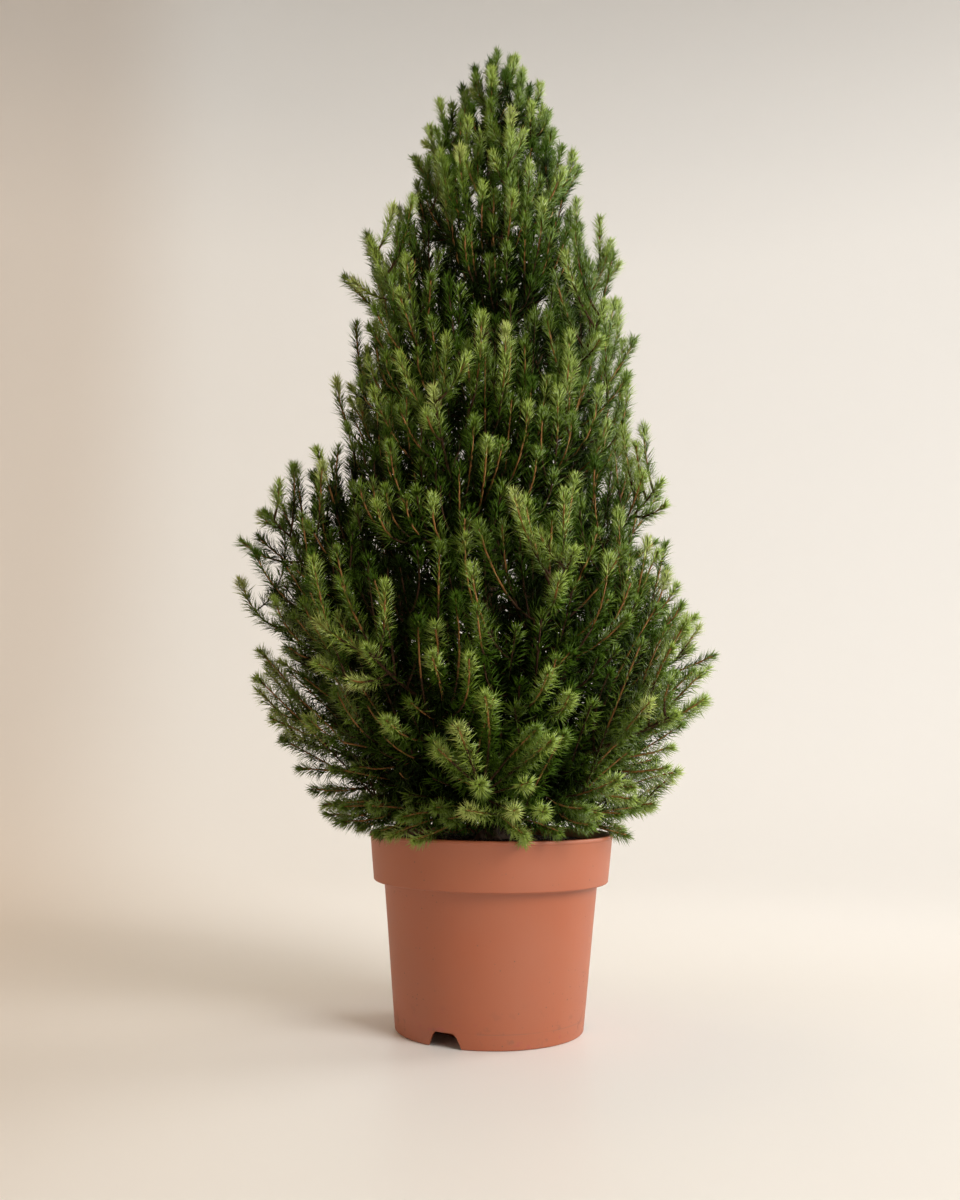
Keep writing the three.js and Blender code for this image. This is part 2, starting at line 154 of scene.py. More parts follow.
# The crown's outline: height and reach, in millimetres, on its left (least X) and on its right.
CROWN_LEFT = (
    (150, 128), (200, 165), (260, 199), (345, 232), (400, 230), (455, 200), (520, 163),
    (600, 148), (655, 146), (750, 94), (830, 60), (890, 16),
)  # fmt: skip
CROWN_RIGHT = (
    (150, 112), (200, 150), (250, 188), (300, 204), (345, 198), (400, 176), (455, 158),
    (520, 142), (625, 138), (740, 88), (830, 56), (890, 14),
)  # fmt: skip

POT = PotSizes()
SOIL = SoilSizes()
TRUNK = TrunkSizes()
BOUGHS = BoughSizes()


# ---- Small tools ----


def mix(a: float, b: float, share: float) -> float:
    """The value at a share of the way from a to b."""
    return a + (b - a) * share


def unit(vectors: Array) -> Array:
    """Vectors scaled to length 1, along the last axis."""
    return vectors / np.maximum(np.linalg.norm(vectors, axis=-1, keepdims=True), 1e-12)


def level(azimuth: float) -> Array:
    """A level direction; azimuth 0 is +X and 90 is +Y."""
    return np.array([math.cos(math.radians(azimuth)), math.sin(math.radians(azimuth)), 0.0])


def circle(sides: int) -> Array:
    """Angles in radians, evenly spaced round a circle."""
    return np.arange(sides) * 2 * math.pi / sides


def quadratic(start: Array, bend: Array, end: Array, shares: Array) -> Array:
    """Points at shares of a curve that heads for its bend and comes to its end."""
    return start * (1 - shares) ** 2 + bend * 2 * shares * (1 - shares) + end * shares**2


def step_lengths(path: Array) -> Array:
    """The distance from each point of a path to the next."""
    return np.linalg.norm(np.diff(path, axis=0), axis=1)


def sampled(places: Array, marks: Array, values: Array) -> Array:
    """Rows of values given at marks along a path, at places between them."""
    return np.stack([np.interp(places, marks, values[:, k]) for k in range(3)], -1)


class Draws:
    """The solids' own repeatable stream of numbers from 0 to 1."""

    MASK = 0xFFFFFFFF
    STEP = 0x6D2B79F5

    def __init__(self, seed: int) -> None:
        """Starts the stream.

        Args:
            seed: The number that fixes the whole stream.
        """
        self.state = seed & self.MASK

    def __call__(self) -> float:
        """The next number of the stream.

        Returns:
            A number from 0 up to 1.
        """
        self.state = (self.state + self.STEP) & self.MASK
        t = ((self.state ^ (self.state >> 15)) * (1 | self.state)) & self.MASK
        t = ((t + (t ^ (t >> 7)) * (61 | t)) & self.MASK) ^ t
        return ((t ^ (t >> 14)) & self.MASK) / (self.MASK + 1)

    def between(self, low: float, high: float) -> float:
        """The next number, spread over a range."""
        return mix(low, high, self())


def mesh_from(name: str, points: Array, faces: Array) -> bpy.types.Mesh:
    """A mesh from arrays.

    Args:
        name: The mesh's name.
        points: Corner points, one row each.
        faces: Corner indices, one row for each face, all with the same number of corners.

    Returns:
        The mesh, with its edges worked out.
    """
    mesh = bpy.data.meshes.new(name)
    count, corners = faces.shape
    mesh.vertices.add(len(points))
    mesh.vertices.foreach_set("co", np.ascontiguousarray(points, np.float32).ravel())
    mesh.loops.add(count * corners)
    mesh.loops.foreach_set("vertex_index", np.ascontiguousarray(faces, np.int32).ravel())
    mesh.polygons.add(count)
    mesh.polygons.foreach_set("loop_start", np.arange(0, count * corners, corners, dtype=np.int32))
    mesh.update(calc_edges=True)
    return mesh


def linked(name: str, data: bpy.types.ID) -> bpy.types.Object:
    """An object for a mesh, a light or a camera, in the scene.

    Args:
        name: The object's name.
        data: The mesh, light or camera.

    Returns:
        The object.
    """
    made = bpy.data.objects.new(name, data)
    bpy.context.scene.collection.objects.link(made)
    return made


def object_from(mesh: bpy.types.Mesh, material: bpy.types.Material) -> bpy.types.Object:
    """An object for a mesh, in the scene, in one material.

    Args:
        mesh: The mesh.
        material: The material.

    Returns:
        The object, with the mesh's name.
    """
    mesh.materials.clear()
    mesh.materials.append(material)
    return linked(mesh.name, mesh)


def evaluated_mesh(made: bpy.types.Object, name: str) -> bpy.types.Mesh:
    """The plain mesh of an object with its modifiers worked out, which are then removed.

    Args:
        made: The object.
        name: The mesh's name.

    Returns:
        The mesh.
    """
    graph = bpy.context.evaluated_depsgraph_get()
    mesh = bpy.data.meshes.new_from_object(made.evaluated_get(graph))
    mesh.name = name
    made.modifiers.clear()
    return mesh


def tube(rings: Array, closed_tip: bool = True) -> tuple[Array, Array]:
    """A closed tube over rings of points.

    Args:
        rings: Points as ring, side and coordinate, turning anticlockwise round the way forward.
        closed_tip: Whether the last ring closes in a point just past it.

    Returns:
        Points and triangles.
    """
    count, sides = rings.shape[:2]
    first = np.arange(count * sides).reshape(count, sides)
    a, b = first[:-1], np.roll(first[:-1], -1, axis=1)
    c, d = first[1:], np.roll(first[1:], -1, axis=1)
    walls = np.stack([np.stack([a, b, c], -1), np.stack([b, d, c], -1)], 2).reshape(-1, 3)
    ends = [rings[0].mean(0), rings[-1].mean(0)]
    if closed_tip:
        ends[1] = ends[1] + unit(ends[1] - rings[-2].mean(0)) * np.linalg.norm(rings[-1][0] - ends[1])
    points = np.concatenate([rings.reshape(-1, 3), ends])
    low, high = count * sides, count * sides + 1
    butt = np.stack([first[0], np.full(sides, low), np.roll(first[0], -1)], -1)
    tip = np.stack([first[-1], np.roll(first[-1], -1), np.full(sides, high)], -1)
    return points, np.concatenate([walls, butt, tip])


def frames_along(path: Array) -> tuple[Array, Array, Array]:
    """Forward, side and other directions at each point of a path, square to each other.

    Args:
        path: The path's points.

    Returns:
        A unit vector of each kind for each point.
    """
    forward = unit(np.gradient(path, axis=0))
    near_x = 0.8  # past this share of a path's direction, X can't give its side, so Y does
    aside = np.where(np.abs(forward[:, :1]) < near_x, np.array([[1.0, 0, 0]]), np.array([[0, 1.0, 0]]))
    side = unit(aside - forward * np.sum(aside * forward, -1, keepdims=True))
    return forward, side, np.cross(forward, side)


def rings_round(path: Array, radii: Array, sides: int) -> Array:
    """Rings of points round a path.

    Args:
        path: The centres.
        radii: A radius for each centre, or one for each centre and side.
        sides: Points to a ring.

    Returns:
        Points as ring, side and coordinate.
    """
    _, side, other = frames_along(path)
    angle = circle(sides)
    spread = radii.reshape(len(path), -1, 1)
    turn = side[:, None] * np.cos(angle)[None, :, None] + other[:, None] * np.sin(angle)[None, :, None]
    return path[:, None] + spread * turn


def turned_rings(profile: Sequence[tuple[float, float]], sides: int) -> Array:
    """Level rings round the Z axis.

    Args:
        profile: The radius and height of each.
        sides: Points to a ring.

    Returns:
        Points as ring, side and coordinate.
    """
    radii, heights = np.array(profile).T[..., None]
    angle = circle(sides)
    return np.stack([radii * np.cos(angle), radii * np.sin(angle), np.repeat(heights, sides, 1)], -1)


class MeshPile:
    """Collects many small meshes into one."""

    def __init__(self) -> None:
        """Starts an empty pile."""
        self.points: list[Array] = []
        self.faces: list[Array] = []
        self.count = 0

    def add(self, points: Array, faces: Array) -> None:
        """Adds one small mesh."""
        self.points.append(points)
        self.faces.append(faces + self.count)
        self.count += len(points)

    def mesh(self, name: str) -> bpy.types.Mesh:
        """The whole pile as one mesh."""
        return mesh_from(name, np.concatenate(self.points), np.concatenate(self.faces))


def put_in_place(piece: bpy.types.Object, nodes: Sequence[str]) -> None:
    """Makes a piece ride on the plant and stand for its nodes.

    Args:
        piece: The finished piece.
        nodes: The solids that it stands for.
    """
    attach(piece, BODY)
    if nodes:
        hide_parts(*nodes)
    LOG.info("%s: %d faces", piece.name, len(piece.data.polygons))


# ---- Shader tools and finishes ----


def feed(tree: bpy.types.NodeTree, socket: bpy.types.NodeSocket, value: object) -> None:
    """Links a signal or socket to an input, or sets its value.

    Args:
        tree: The tree that both are in.
        socket: The input.
        value: What it takes.
    """
    if isinstance(value, Signal):
        value = value.socket
    if isinstance(value, bpy.types.NodeSocket):
        tree.links.new(value, socket)
    else:
        socket.default_value = value


def add_node(tree: bpy.types.NodeTree, kind: str, values: dict, **settings: object) -> bpy.types.Node:
    """Adds a node to a tree.

    Args:
        tree: The material's or modifier's tree.
        kind: The node's type.
        values: Values, signals or sockets for its inputs, by name or number.
        **settings: Its properties, which are set first.

    Returns:
        The node.
    """
    node = tree.nodes.new(kind)
    for name, value in settings.items():
        setattr(node, name, value)
    for key, value in values.items():
        feed(tree, node.inputs[key], value)
    return node


class Signal:
    """A number in a shader. Arithmetic on it adds Math nodes."""

    def __init__(self, graph: ShaderGraph, socket: bpy.types.NodeSocket) -> None:
        """Wraps a socket.

        Args:
            graph: The material's graph.
            socket: The output that carries the number.
        """
        self.graph = graph
        self.socket = socket

    def _math(self, operation: str, first: Value, second: Value) -> Signal:
        """A Math node on two values."""
        node = self.graph.node("ShaderNodeMath", {0: first, 1: second}, operation=operation)
        return Signal(self.graph, node.outputs[0])

    def __add__(self, other: Value) -> Signal:
        """This plus other."""
        return self._math("ADD", self, other)

    def __radd__(self, other: Value) -> Signal:
        """Other plus this."""
        return self._math("ADD", other, self)

    def __sub__(self, other: Value) -> Signal:
        """This less other."""
        return self._math("SUBTRACT", self, other)

    def __rsub__(self, other: Value) -> Signal:
        """Other less this."""
        return self._math("SUBTRACT", other, self)

    def __mul__(self, other: Value) -> Signal:
        """This times other."""
        return self._math("MULTIPLY", self, other)

    def __rmul__(self, other: Value) -> Signal:
        """Other times this."""
        return self._math("MULTIPLY", other, self)

    def above(self, edge: float, soft: float) -> Signal:
        """0 below an edge and 1 above it, with a soft step."""
        values = {0: self, 1: edge - soft, 2: edge + soft}
        node = self.graph.node("ShaderNodeMapRange", values, interpolation_type="SMOOTHSTEP")
        return Signal(self.graph, node.outputs[0])


Value = Signal | float


class ShaderGraph:
    """One material's nodes, made by plain calls."""

    def __init__(self, name: str) -> None:
        """Makes an empty material with a Principled shader.

        Args:
            name: The material's name.
        """
        self.material = bpy.data.materials.new(name)
        self.material.use_nodes = True
        self.tree = self.material.node_tree
        self.tree.nodes.clear()
        output = self.tree.nodes.new("ShaderNodeOutputMaterial")
        self.shader = self.tree.nodes.new("ShaderNodeBsdfPrincipled")
        self.tree.links.new(self.shader.outputs[0], output.inputs[0])
        self.place = self.node("ShaderNodeTexCoord", {}).outputs["Object"]

    def node(self, kind: str, values: dict, **settings: object) -> bpy.types.Node:
        """Adds a node to the material."""
        return add_node(self.tree, kind, values, **settings)

    def noise(self, scale: float, detail: float = 3, stretch: tuple = (1, 1, 1)) -> Signal:
        """Noise from 0 to 1 over the object.

        Args:
            scale: Waves to a metre.
            detail: Octaves.
            stretch: How much finer it is along X, Y and Z.

        Returns:
            The noise.
        """
        place = self.node("ShaderNodeMapping", {"Vector": self.place, "Scale": stretch})
        values = {"Vector": place.outputs[0], "Scale": scale, "Detail": detail}
        return Signal(self, self.node("ShaderNodeTexNoise", values).outputs[0])

    def specks(self, scale: float, share: float) -> Signal:
        """Small round specks, 1 in them and 0 between.

        Args:
            scale: Cells to a metre.
            share: The specks' radius as a share of a cell.

        Returns:
            The specks.
        """
        values = {"Vector": self.place, "Scale": scale}
        cells = Signal(self, self.node("ShaderNodeTexVoronoi", values).outputs["Distance"])
        return 1 - cells.above(share, share * 0.4)

    def axis(self, letter: str) -> Signal:
        """The object's own X, Y or Z at the point."""
        parts = self.node("ShaderNodeSeparateXYZ", {0: self.place})
        return Signal(self, parts.outputs[letter])

    def blend(self, share: Value, first: object, second: object) -> bpy.types.NodeSocket:
        """A mix of two colours."""
        values = {"Factor": share, 6: first, 7: second}
        return self.node("ShaderNodeMix", values, data_type="RGBA").outputs[2]

    def bump(self, height: Value, strength: float, distance: float) -> bpy.types.NodeSocket:
        """A bump from a height signal."""
        values = {"Strength": strength, "Distance": distance, "Height": height}
        return self.node("ShaderNodeBump", values).outputs[0]

    def finish(self, **inputs: object) -> bpy.types.Material:
        """Feeds the shader and gives the material back.

        Args:
            **inputs: Values for the shader's inputs, with _ for a space.

        Returns:
            The material.
        """
        for name, value in inputs.items():
            feed(self.tree, self.shader.inputs[name.replace("_", " ")], value)
        return self.material


def rgba(red: float, green: float, blue: float) -> tuple[float, float, float, float]:
    """An opaque colour in linear light."""
    return (red, green, blue, 1.0)


@dataclass(frozen=True)
class PlasticFinish:
    """Satin terracotta-coloured moulded plastic, a little dusty and scuffed near the ground."""

    base: tuple = rgba(0.355, 0.079, 0.020)
    worn: tuple = rgba(0.345, 0.104, 0.042)
    dust: tuple = rgba(0.13, 0.07, 0.045)
    scuff: tuple = rgba(0.34, 0.06, 0.03)
    roughness: float = 0.52
    low_height: float = 22 * MM  # grime and scuffs gather below it
    low_fade: float = 20 * MM
    seam_heights: tuple[float, float] = (12.2 * MM, 12.8 * MM)
    cloud_strength: float = 0.35
    streak_strength: float = 0.12
    scuff_strength: float = 0.75
    seam_strength: float = 0.45
    speck_strength: float = 0.8
    grime_strength: float = 0.35

    def make(self) -> bpy.types.Material:
        """Makes the finish.

        Returns:
            The material.
        """
        g = ShaderGraph("terracotta_plastic")
        height = g.axis("Z")
        cloud = g.noise(14, 4)
        streaks = g.noise(60, 2, (1, 1, 0.06))
        low = 1 - height.above(self.low_height, self.low_fade)
        colour = g.blend(cloud.above(0.52, 0.2) * self.cloud_strength, self.base, self.worn)
        colour = g.blend(streaks.above(0.62, 0.1) * self.streak_strength, colour, self.worn)
        scuffs = g.noise(75, 5, (1, 1, 2.4)).above(0.66, 0.03) * low
        colour = g.blend(scuffs * self.scuff_strength, colour, self.scuff)
        bottom, top = self.seam_heights
        seam = (1 - (height - top).above(0.0, 0.6 * MM)) * height.above(bottom, 0.3 * MM)
        broken = g.noise(40, 4).above(0.5, 0.06)
        colour = g.blend(seam * broken * self.seam_strength, colour, self.dust)
        specks = g.specks(190, 0.11) * g.noise(22, 2).above(0.56, 0.05)
        grime = g.noise(120, 4).above(0.63, 0.05) * low
        colour = g.blend(specks * self.speck_strength, colour, self.dust)
        colour = g.blend(grime * self.grime_strength, colour, self.dust)
        grain = g.noise(1400, 2) * 0.25 + g.noise(90, 3, (1, 1, 0.2)) * 0.75
        rough = self.roughness + (cloud - 0.5) * 0.12 + specks * 0.2 + grime * 0.12
        return g.finish(
            Base_Color=colour,
            Roughness=rough,
            Specular_IOR_Level=1.0,
            Normal=g.bump(grain - seam * 0.6, 0.12, 0.0006),
        )


@dataclass(frozen=True)
class BarkFinish:
    """Thin, flaky, grey-brown bark with warmer cracks."""

    ridge: tuple = rgba(0.17, 0.115, 0.08)
    crack: tuple = rgba(0.05, 0.025, 0.014)
    warm: tuple = rgba(0.24, 0.115, 0.05)

    def make(self) -> bpy.types.Material:
        """Makes the finish.

        Returns:
            The material.
        """
        g = ShaderGraph("flaky_bark")
        flakes = g.noise(260, 5, (1, 1, 0.45))
        patches = g.noise(60, 3)
        colour = g.blend(flakes.above(0.5, 0.1), self.crack, self.ridge)
        colour = g.blend(patches.above(0.55, 0.1) * 0.6, colour, self.warm)
        return g.finish(
            Base_Color=colour,
            Roughness=0.78 + patches * 0.15,
            Normal=g.bump(flakes, 0.8, 0.0012),
        )


@dataclass(frozen=True)
class SoilFinish:
    """Moist, crumbly peat mix."""

    name: str
    dark: tuple
    light: tuple
    grain: float = 420  # grains to a metre
    coarser: float = 6  # how much larger the clods are than the grains

    def make(self) -> bpy.types.Material:
        """Makes the finish.

        Returns:
            The material.
        """
        g = ShaderGraph(self.name)
        fine = g.noise(self.grain, 5)
        coarse = g.noise(self.grain / self.coarser, 3)
        colour = g.blend(fine.above(0.55, 0.14), self.dark, self.light)
        colour = g.blend(coarse.above(0.6, 0.1) * 0.5, colour, self.dark)
        return g.finish(
            Base_Color=colour,
            Roughness=0.8 + fine * 0.2,
            Normal=g.bump(fine, 0.9, 0.0015),
        )


@dataclass(frozen=True)
class PlainFinish:
    """One plain colour, for a piece made of sprays of needles or of twigs."""

    name: str
    colour: tuple
    roughness: float = 0.5
    gloss: float = 0.4

    def make(self) -> bpy.types.Material:
        """The material."""
        g = ShaderGraph(self.name)
        return g.finish(Base_Color=self.colour, Roughness=self.roughness, Specular_IOR_Level=self.gloss)


class Shade(IntEnum):
    """The shades of needle, from the crown's dark inside to the new tips; the dark inside is partly older
    needles and partly painted shade.
    """

    DEEP = 0
    OLD = 1
    GROWN = 2
    BRIGHT = 3
    TIP = 4


# The deep and old shades are darker partly as painted shade of the crown's inside.
NEEDLE_FINISHES: dict[Shade, PlainFinish] = {
    Shade.DEEP: PlainFinish("needles_deep", rgba(0.011, 0.024, 0.0005), 0.55, 0.08),
    Shade.OLD: PlainFinish("needles_old", rgba(0.043, 0.092, 0.0015), 0.5, 0.14),
    Shade.GROWN: PlainFinish("needles_grown", rgba(0.118, 0.199, 0.008), 0.38, 0.5),
    Shade.BRIGHT: PlainFinish("needles_bright", rgba(0.274, 0.384, 0.042), 0.36, 0.75),
    Shade.TIP: PlainFinish("needles_tip", rgba(0.415, 0.500, 0.105), 0.36, 0.75),
}


class TwigAge(Enum):
    """The two ages of twig, which differ in colour."""

    YOUNG = "young"
    OLD = "old"


TWIG_FINISHES: dict[TwigAge, PlainFinish] = {
    TwigAge.YOUNG: PlainFinish("twig_young", rgba(0.33, 0.155, 0.05), 0.6, 0.2),
    TwigAge.OLD: PlainFinish("twig_old", rgba(0.06, 0.03, 0.015), 0.8, 0.15),
}


# ---- Limbs and the crown's space ----


@dataclass(frozen=True)
class Limb:
    """A bough with its foliage's stem: one quadratic curve out of the trunk's middle."""

    index: int
    foot: Array
    bend: Array
    tip: Array
    wood_share: float
    radius: float

    def points(self, shares: Array) -> Array:
        """Points of the curve at shares of it."""
        return quadratic(self.foot, self.bend, self.tip, np.asarray(shares, float)[..., None])


class Trunk:
    """The trunk's centre and radius, by height."""

    def share(self, height: Array) -> Array:
        """The share of the way from the foot to the tip."""
        return (height - TRUNK.foot_height) / (TRUNK.tip_height - TRUNK.foot_height)

    def flare(self, height: Array) -> Array:
        """How much of the root flare is left at a height, from 1 to 0."""
        return np.maximum(0, 1 - (height - TRUNK.foot_height) / TRUNK.flare_height)

    def centre(self, height: Array) -> Array:
        """The centre at heights."""
        share = self.share(np.asarray(height, float))
        return np.stack([TRUNK.lean_x * share, TRUNK.bow * np.sin(np.pi * share), height + 0 * share], -1)

    def radius(self, height: Array) -> Array:
        """The radius at heights, root flare included."""
        taper = mix(TRUNK.foot_radius, TRUNK.tip_radius, self.share(height))
        return taper + (TRUNK.flare_radius - TRUNK.foot_radius) * self.flare(height) ** 2


class Crown:
    """The crown's outline, its limbs, and the space that belongs to each limb."""

    PATH_STEPS = 10
    CLEARANCE = 0.9 * MM
    TOP = 0.9  # nothing grows above this height

    def __init__(self, rim_clearance: float = 3 * MM) -> None:
        """Sets the limbs out as the solids do.

        Args:
            rim_clearance: How far twigs keep off the pot's rim.
        """
        self.trunk = Trunk()
        self.rim_clearance = rim_clearance
        self.limbs = [self._bough(index) for index in range(BOUGHS.count)] + [self._leader()]
        paths = np.stack([limb.points(np.linspace(0, 1, self.PATH_STEPS + 1)) for limb in self.limbs])
        self.starts = paths[:, :-1].reshape(-1, 3)
        self.steps = (paths[:, 1:] - paths[:, :-1]).reshape(-1, 3)

    def reach(self, points: Array) -> Array:
        """How far the crown reaches from its axis, at the heights and azimuths of points.

        Args:
            points: Points anywhere but on the axis.

        Returns:
            The reach at each.
        """
        heights = points[..., 2] / MM
        left = np.interp(heights, *np.array(CROWN_LEFT, float).T, right=0)
        right = np.interp(heights, *np.array(CROWN_RIGHT, float).T, right=0)
        flat = np.maximum(np.hypot(points[..., 0], points[..., 1]), 1e-9)
        return mix(left, right, (1 + points[..., 0] / flat) / 2) * MM

    def _bough(self, index: int) -> Limb:
        """One bough's curve, from the trunk's middle to the end of its foliage.

        Args:
            index: The bough's number, from 0 at the bottom.

        Returns:
            The limb.
        """
        draws = Draws(BOUGHS.first_seed + index)
        share = index / (BOUGHS.count - 1)
        wander = draws.between(-BOUGHS.azimuth_wander, BOUGHS.azimuth_wander)
        azimuth = BOUGHS.first_azimuth + GOLDEN_ANGLE * index + wander
        tip_height = mix(BOUGHS.lowest_tip, BOUGHS.highest_tip, share**BOUGHS.crowding)
        rise = mix(BOUGHS.lowest_rise, BOUGHS.highest_rise, min(1, share * BOUGHS.rise_growth))
        foot_height = tip_height - rise * draws.between(1 - BOUGHS.rise_wander, 1 + BOUGHS.rise_wander)
        outward = level(azimuth)
        reach = float(self.reach(outward + UP * tip_height)) * draws.between(BOUGHS.least_reach, 1)
        foot = self.trunk.centre(foot_height)
        tip = outward * reach + UP * tip_height
        bend = foot + (tip - foot) * BOUGHS.bend
        bend[2] = mix(foot_height, tip_height, BOUGHS.sag)
        radius = mix(BOUGHS.lowest_radius, BOUGHS.highest_radius, share)
        return Limb(index, foot, bend, tip, BOUGHS.wood_share, radius)

    def _leader(self) -> Limb:
        """The upright top of the tree."""
        foot = self.trunk.centre(TRUNK.tip_height)
        tip = np.array([TRUNK.lean_x, 0, TRUNK.leader_tip])
        return Limb(BOUGHS.count, foot, (foot + tip) / 2, tip, 0, TRUNK.tip_radius)

    def distances(self, points: Array) -> Array:
        """The distance from each point to each limb's curve.

        Args:
            points: The points, one row each.

        Returns:
            Distances as point and limb.
        """
        away = points[:, None] - self.starts[None]
        lengths = np.sum(self.steps**2, -1)
        share = np.clip(np.einsum("nij,ij->ni", away, self.steps) / lengths, 0, 1)
        gaps = np.linalg.norm(away - share[..., None] * self.steps[None], axis=-1)
        return gaps.reshape(len(points), len(self.limbs), self.PATH_STEPS).min(-1)

    def has_room(self, limb: Limb, points: Array, spare: float) -> Array:
        """Whether points lie in a limb's own space, clear of the trunk and the pot.

        Args:
            limb: The limb that the points would belong to.
            points: The points, one row each.
            spare: Room to leave past the least clearance.

        Returns:
            True or False for each point.
        """
        clear = self.CLEARANCE + spare
        height = points[:, 2]
        flat = np.hypot(points[:, 0], points[:, 1])
        in_pot = flat < POT.rim_radius + self.rim_clearance
        in_pot &= height < POT.height + self.rim_clearance
        centre = self.trunk.centre(height)
        beside = np.hypot(points[:, 0] - centre[:, 0], points[:, 1] - centre[:, 1])
        in_trunk = (height < TRUNK.tip_height) & (beside < self.trunk.radius(height) + clear)
        gaps = self.distances(points)
        own = gaps[:, limb.index].copy()
        gaps[:, limb.index] = np.inf
        return ~in_pot & ~in_trunk & (gaps.min(-1) > own + 2 * clear)

    def depth(self, points: Array) -> Array:
        """How far points lie inside the crown's outline."""
        inside = self.reach(points) - np.hypot(points[..., 0], points[..., 1])
        return np.minimum(inside, self.TOP - points[..., 2])


# ---- Growth ----


@dataclass
class Shoot:
    """A twig that carries needles from a share of its path to its tip."""

    limb: Limb
    path: Array
    start_radius: float
    end_radius: float
    bare: float
    is_stem: bool = False

    @property
    def length(self) -> float:
        """The path's length."""
        return float(step_lengths(self.path).sum())


@dataclass(frozen=True)
class FirstRule:
    """How the first shoots stand on a stem, as on the solids but closer together."""

    step: float = 9 * MM  # between places along the stem
    first_share: float = 0.10
    last_share: float = 0.97
    shortest: float = 80 * MM
    longest: float = 140 * MM
    tapering: float = 0.30  # how much shorter a shoot is at the stem's tip
    slant: float = 62  # degrees between a shoot's root and its stem
    straightness: float = 0.3  # how much of its first direction it keeps
    elbow: float = 0.4  # where it bends
    first_roll: float = 90  # degrees round the stem
    rolls: int = 8  # directions tried at each place
    wood: tuple[float, float, float] = (1.1 * MM, 0.65 * MM, 0.18)  # radii and the share without needles


@dataclass(frozen=True)
class FillRule:
    """One pass that sends finer shoots to the places still empty in the crown."""

    tries: int
    least_depth: float  # inside the crown's outline
    most_depth: float
    shortest: float
    longest: float
    widest: float  # degrees between a shoot's heading and the line from its root
    highest: float = 900 * MM
    bend: float = 0.62  # how much of a shoot runs along its heading
    hollow: float = 1.0  # how strongly it leaves the crown's hollows dark
    wood: tuple[float, float, float] = (0.85 * MM, 0.6 * MM, 0.1)  # radii and the share without needles


class Occupancy:
    """A grid over the crown that knows which space lies near a shoot."""

    LOW = np.array([-0.32, -0.32, 0.10])  # the grid's corner
    CELLS = (214, 214, 284)

    def __init__(self, spacing: float, cell: float = 3 * MM) -> None:
        """Makes an empty grid.

        Args:
            spacing: How near shoots may come to each other.
            cell: The grid's step.
        """
        self.cell = cell
        self.grid = np.zeros(self.CELLS, bool)
        steps = np.arange(-int(spacing / cell), int(spacing / cell) + 1)
        ball = np.stack(np.meshgrid(steps, steps, steps), -1).reshape(-1, 3)
        self.ball = ball[np.linalg.norm(ball, axis=1) * cell <= spacing]

    def _cells(self, points: Array, offsets: Array) -> tuple[Array, ...]:
        """Indices of the cells at offsets round the points' own cells."""
        cells = ((points - self.LOW) / self.cell).astype(int)[:, None] + offsets
        return tuple(np.moveaxis(np.clip(cells, 0, np.array(self.CELLS) - 1), -1, 0))

    def mark(self, points: Array) -> None:
        """Marks the space round points as taken."""
        self.grid[self._cells(points, self.ball)] = True

    def free(self, points: Array) -> bool:
        """Whether none of the points lies in taken space."""
        return not self.grid[self._cells(points, np.zeros((1, 3), int))].any()


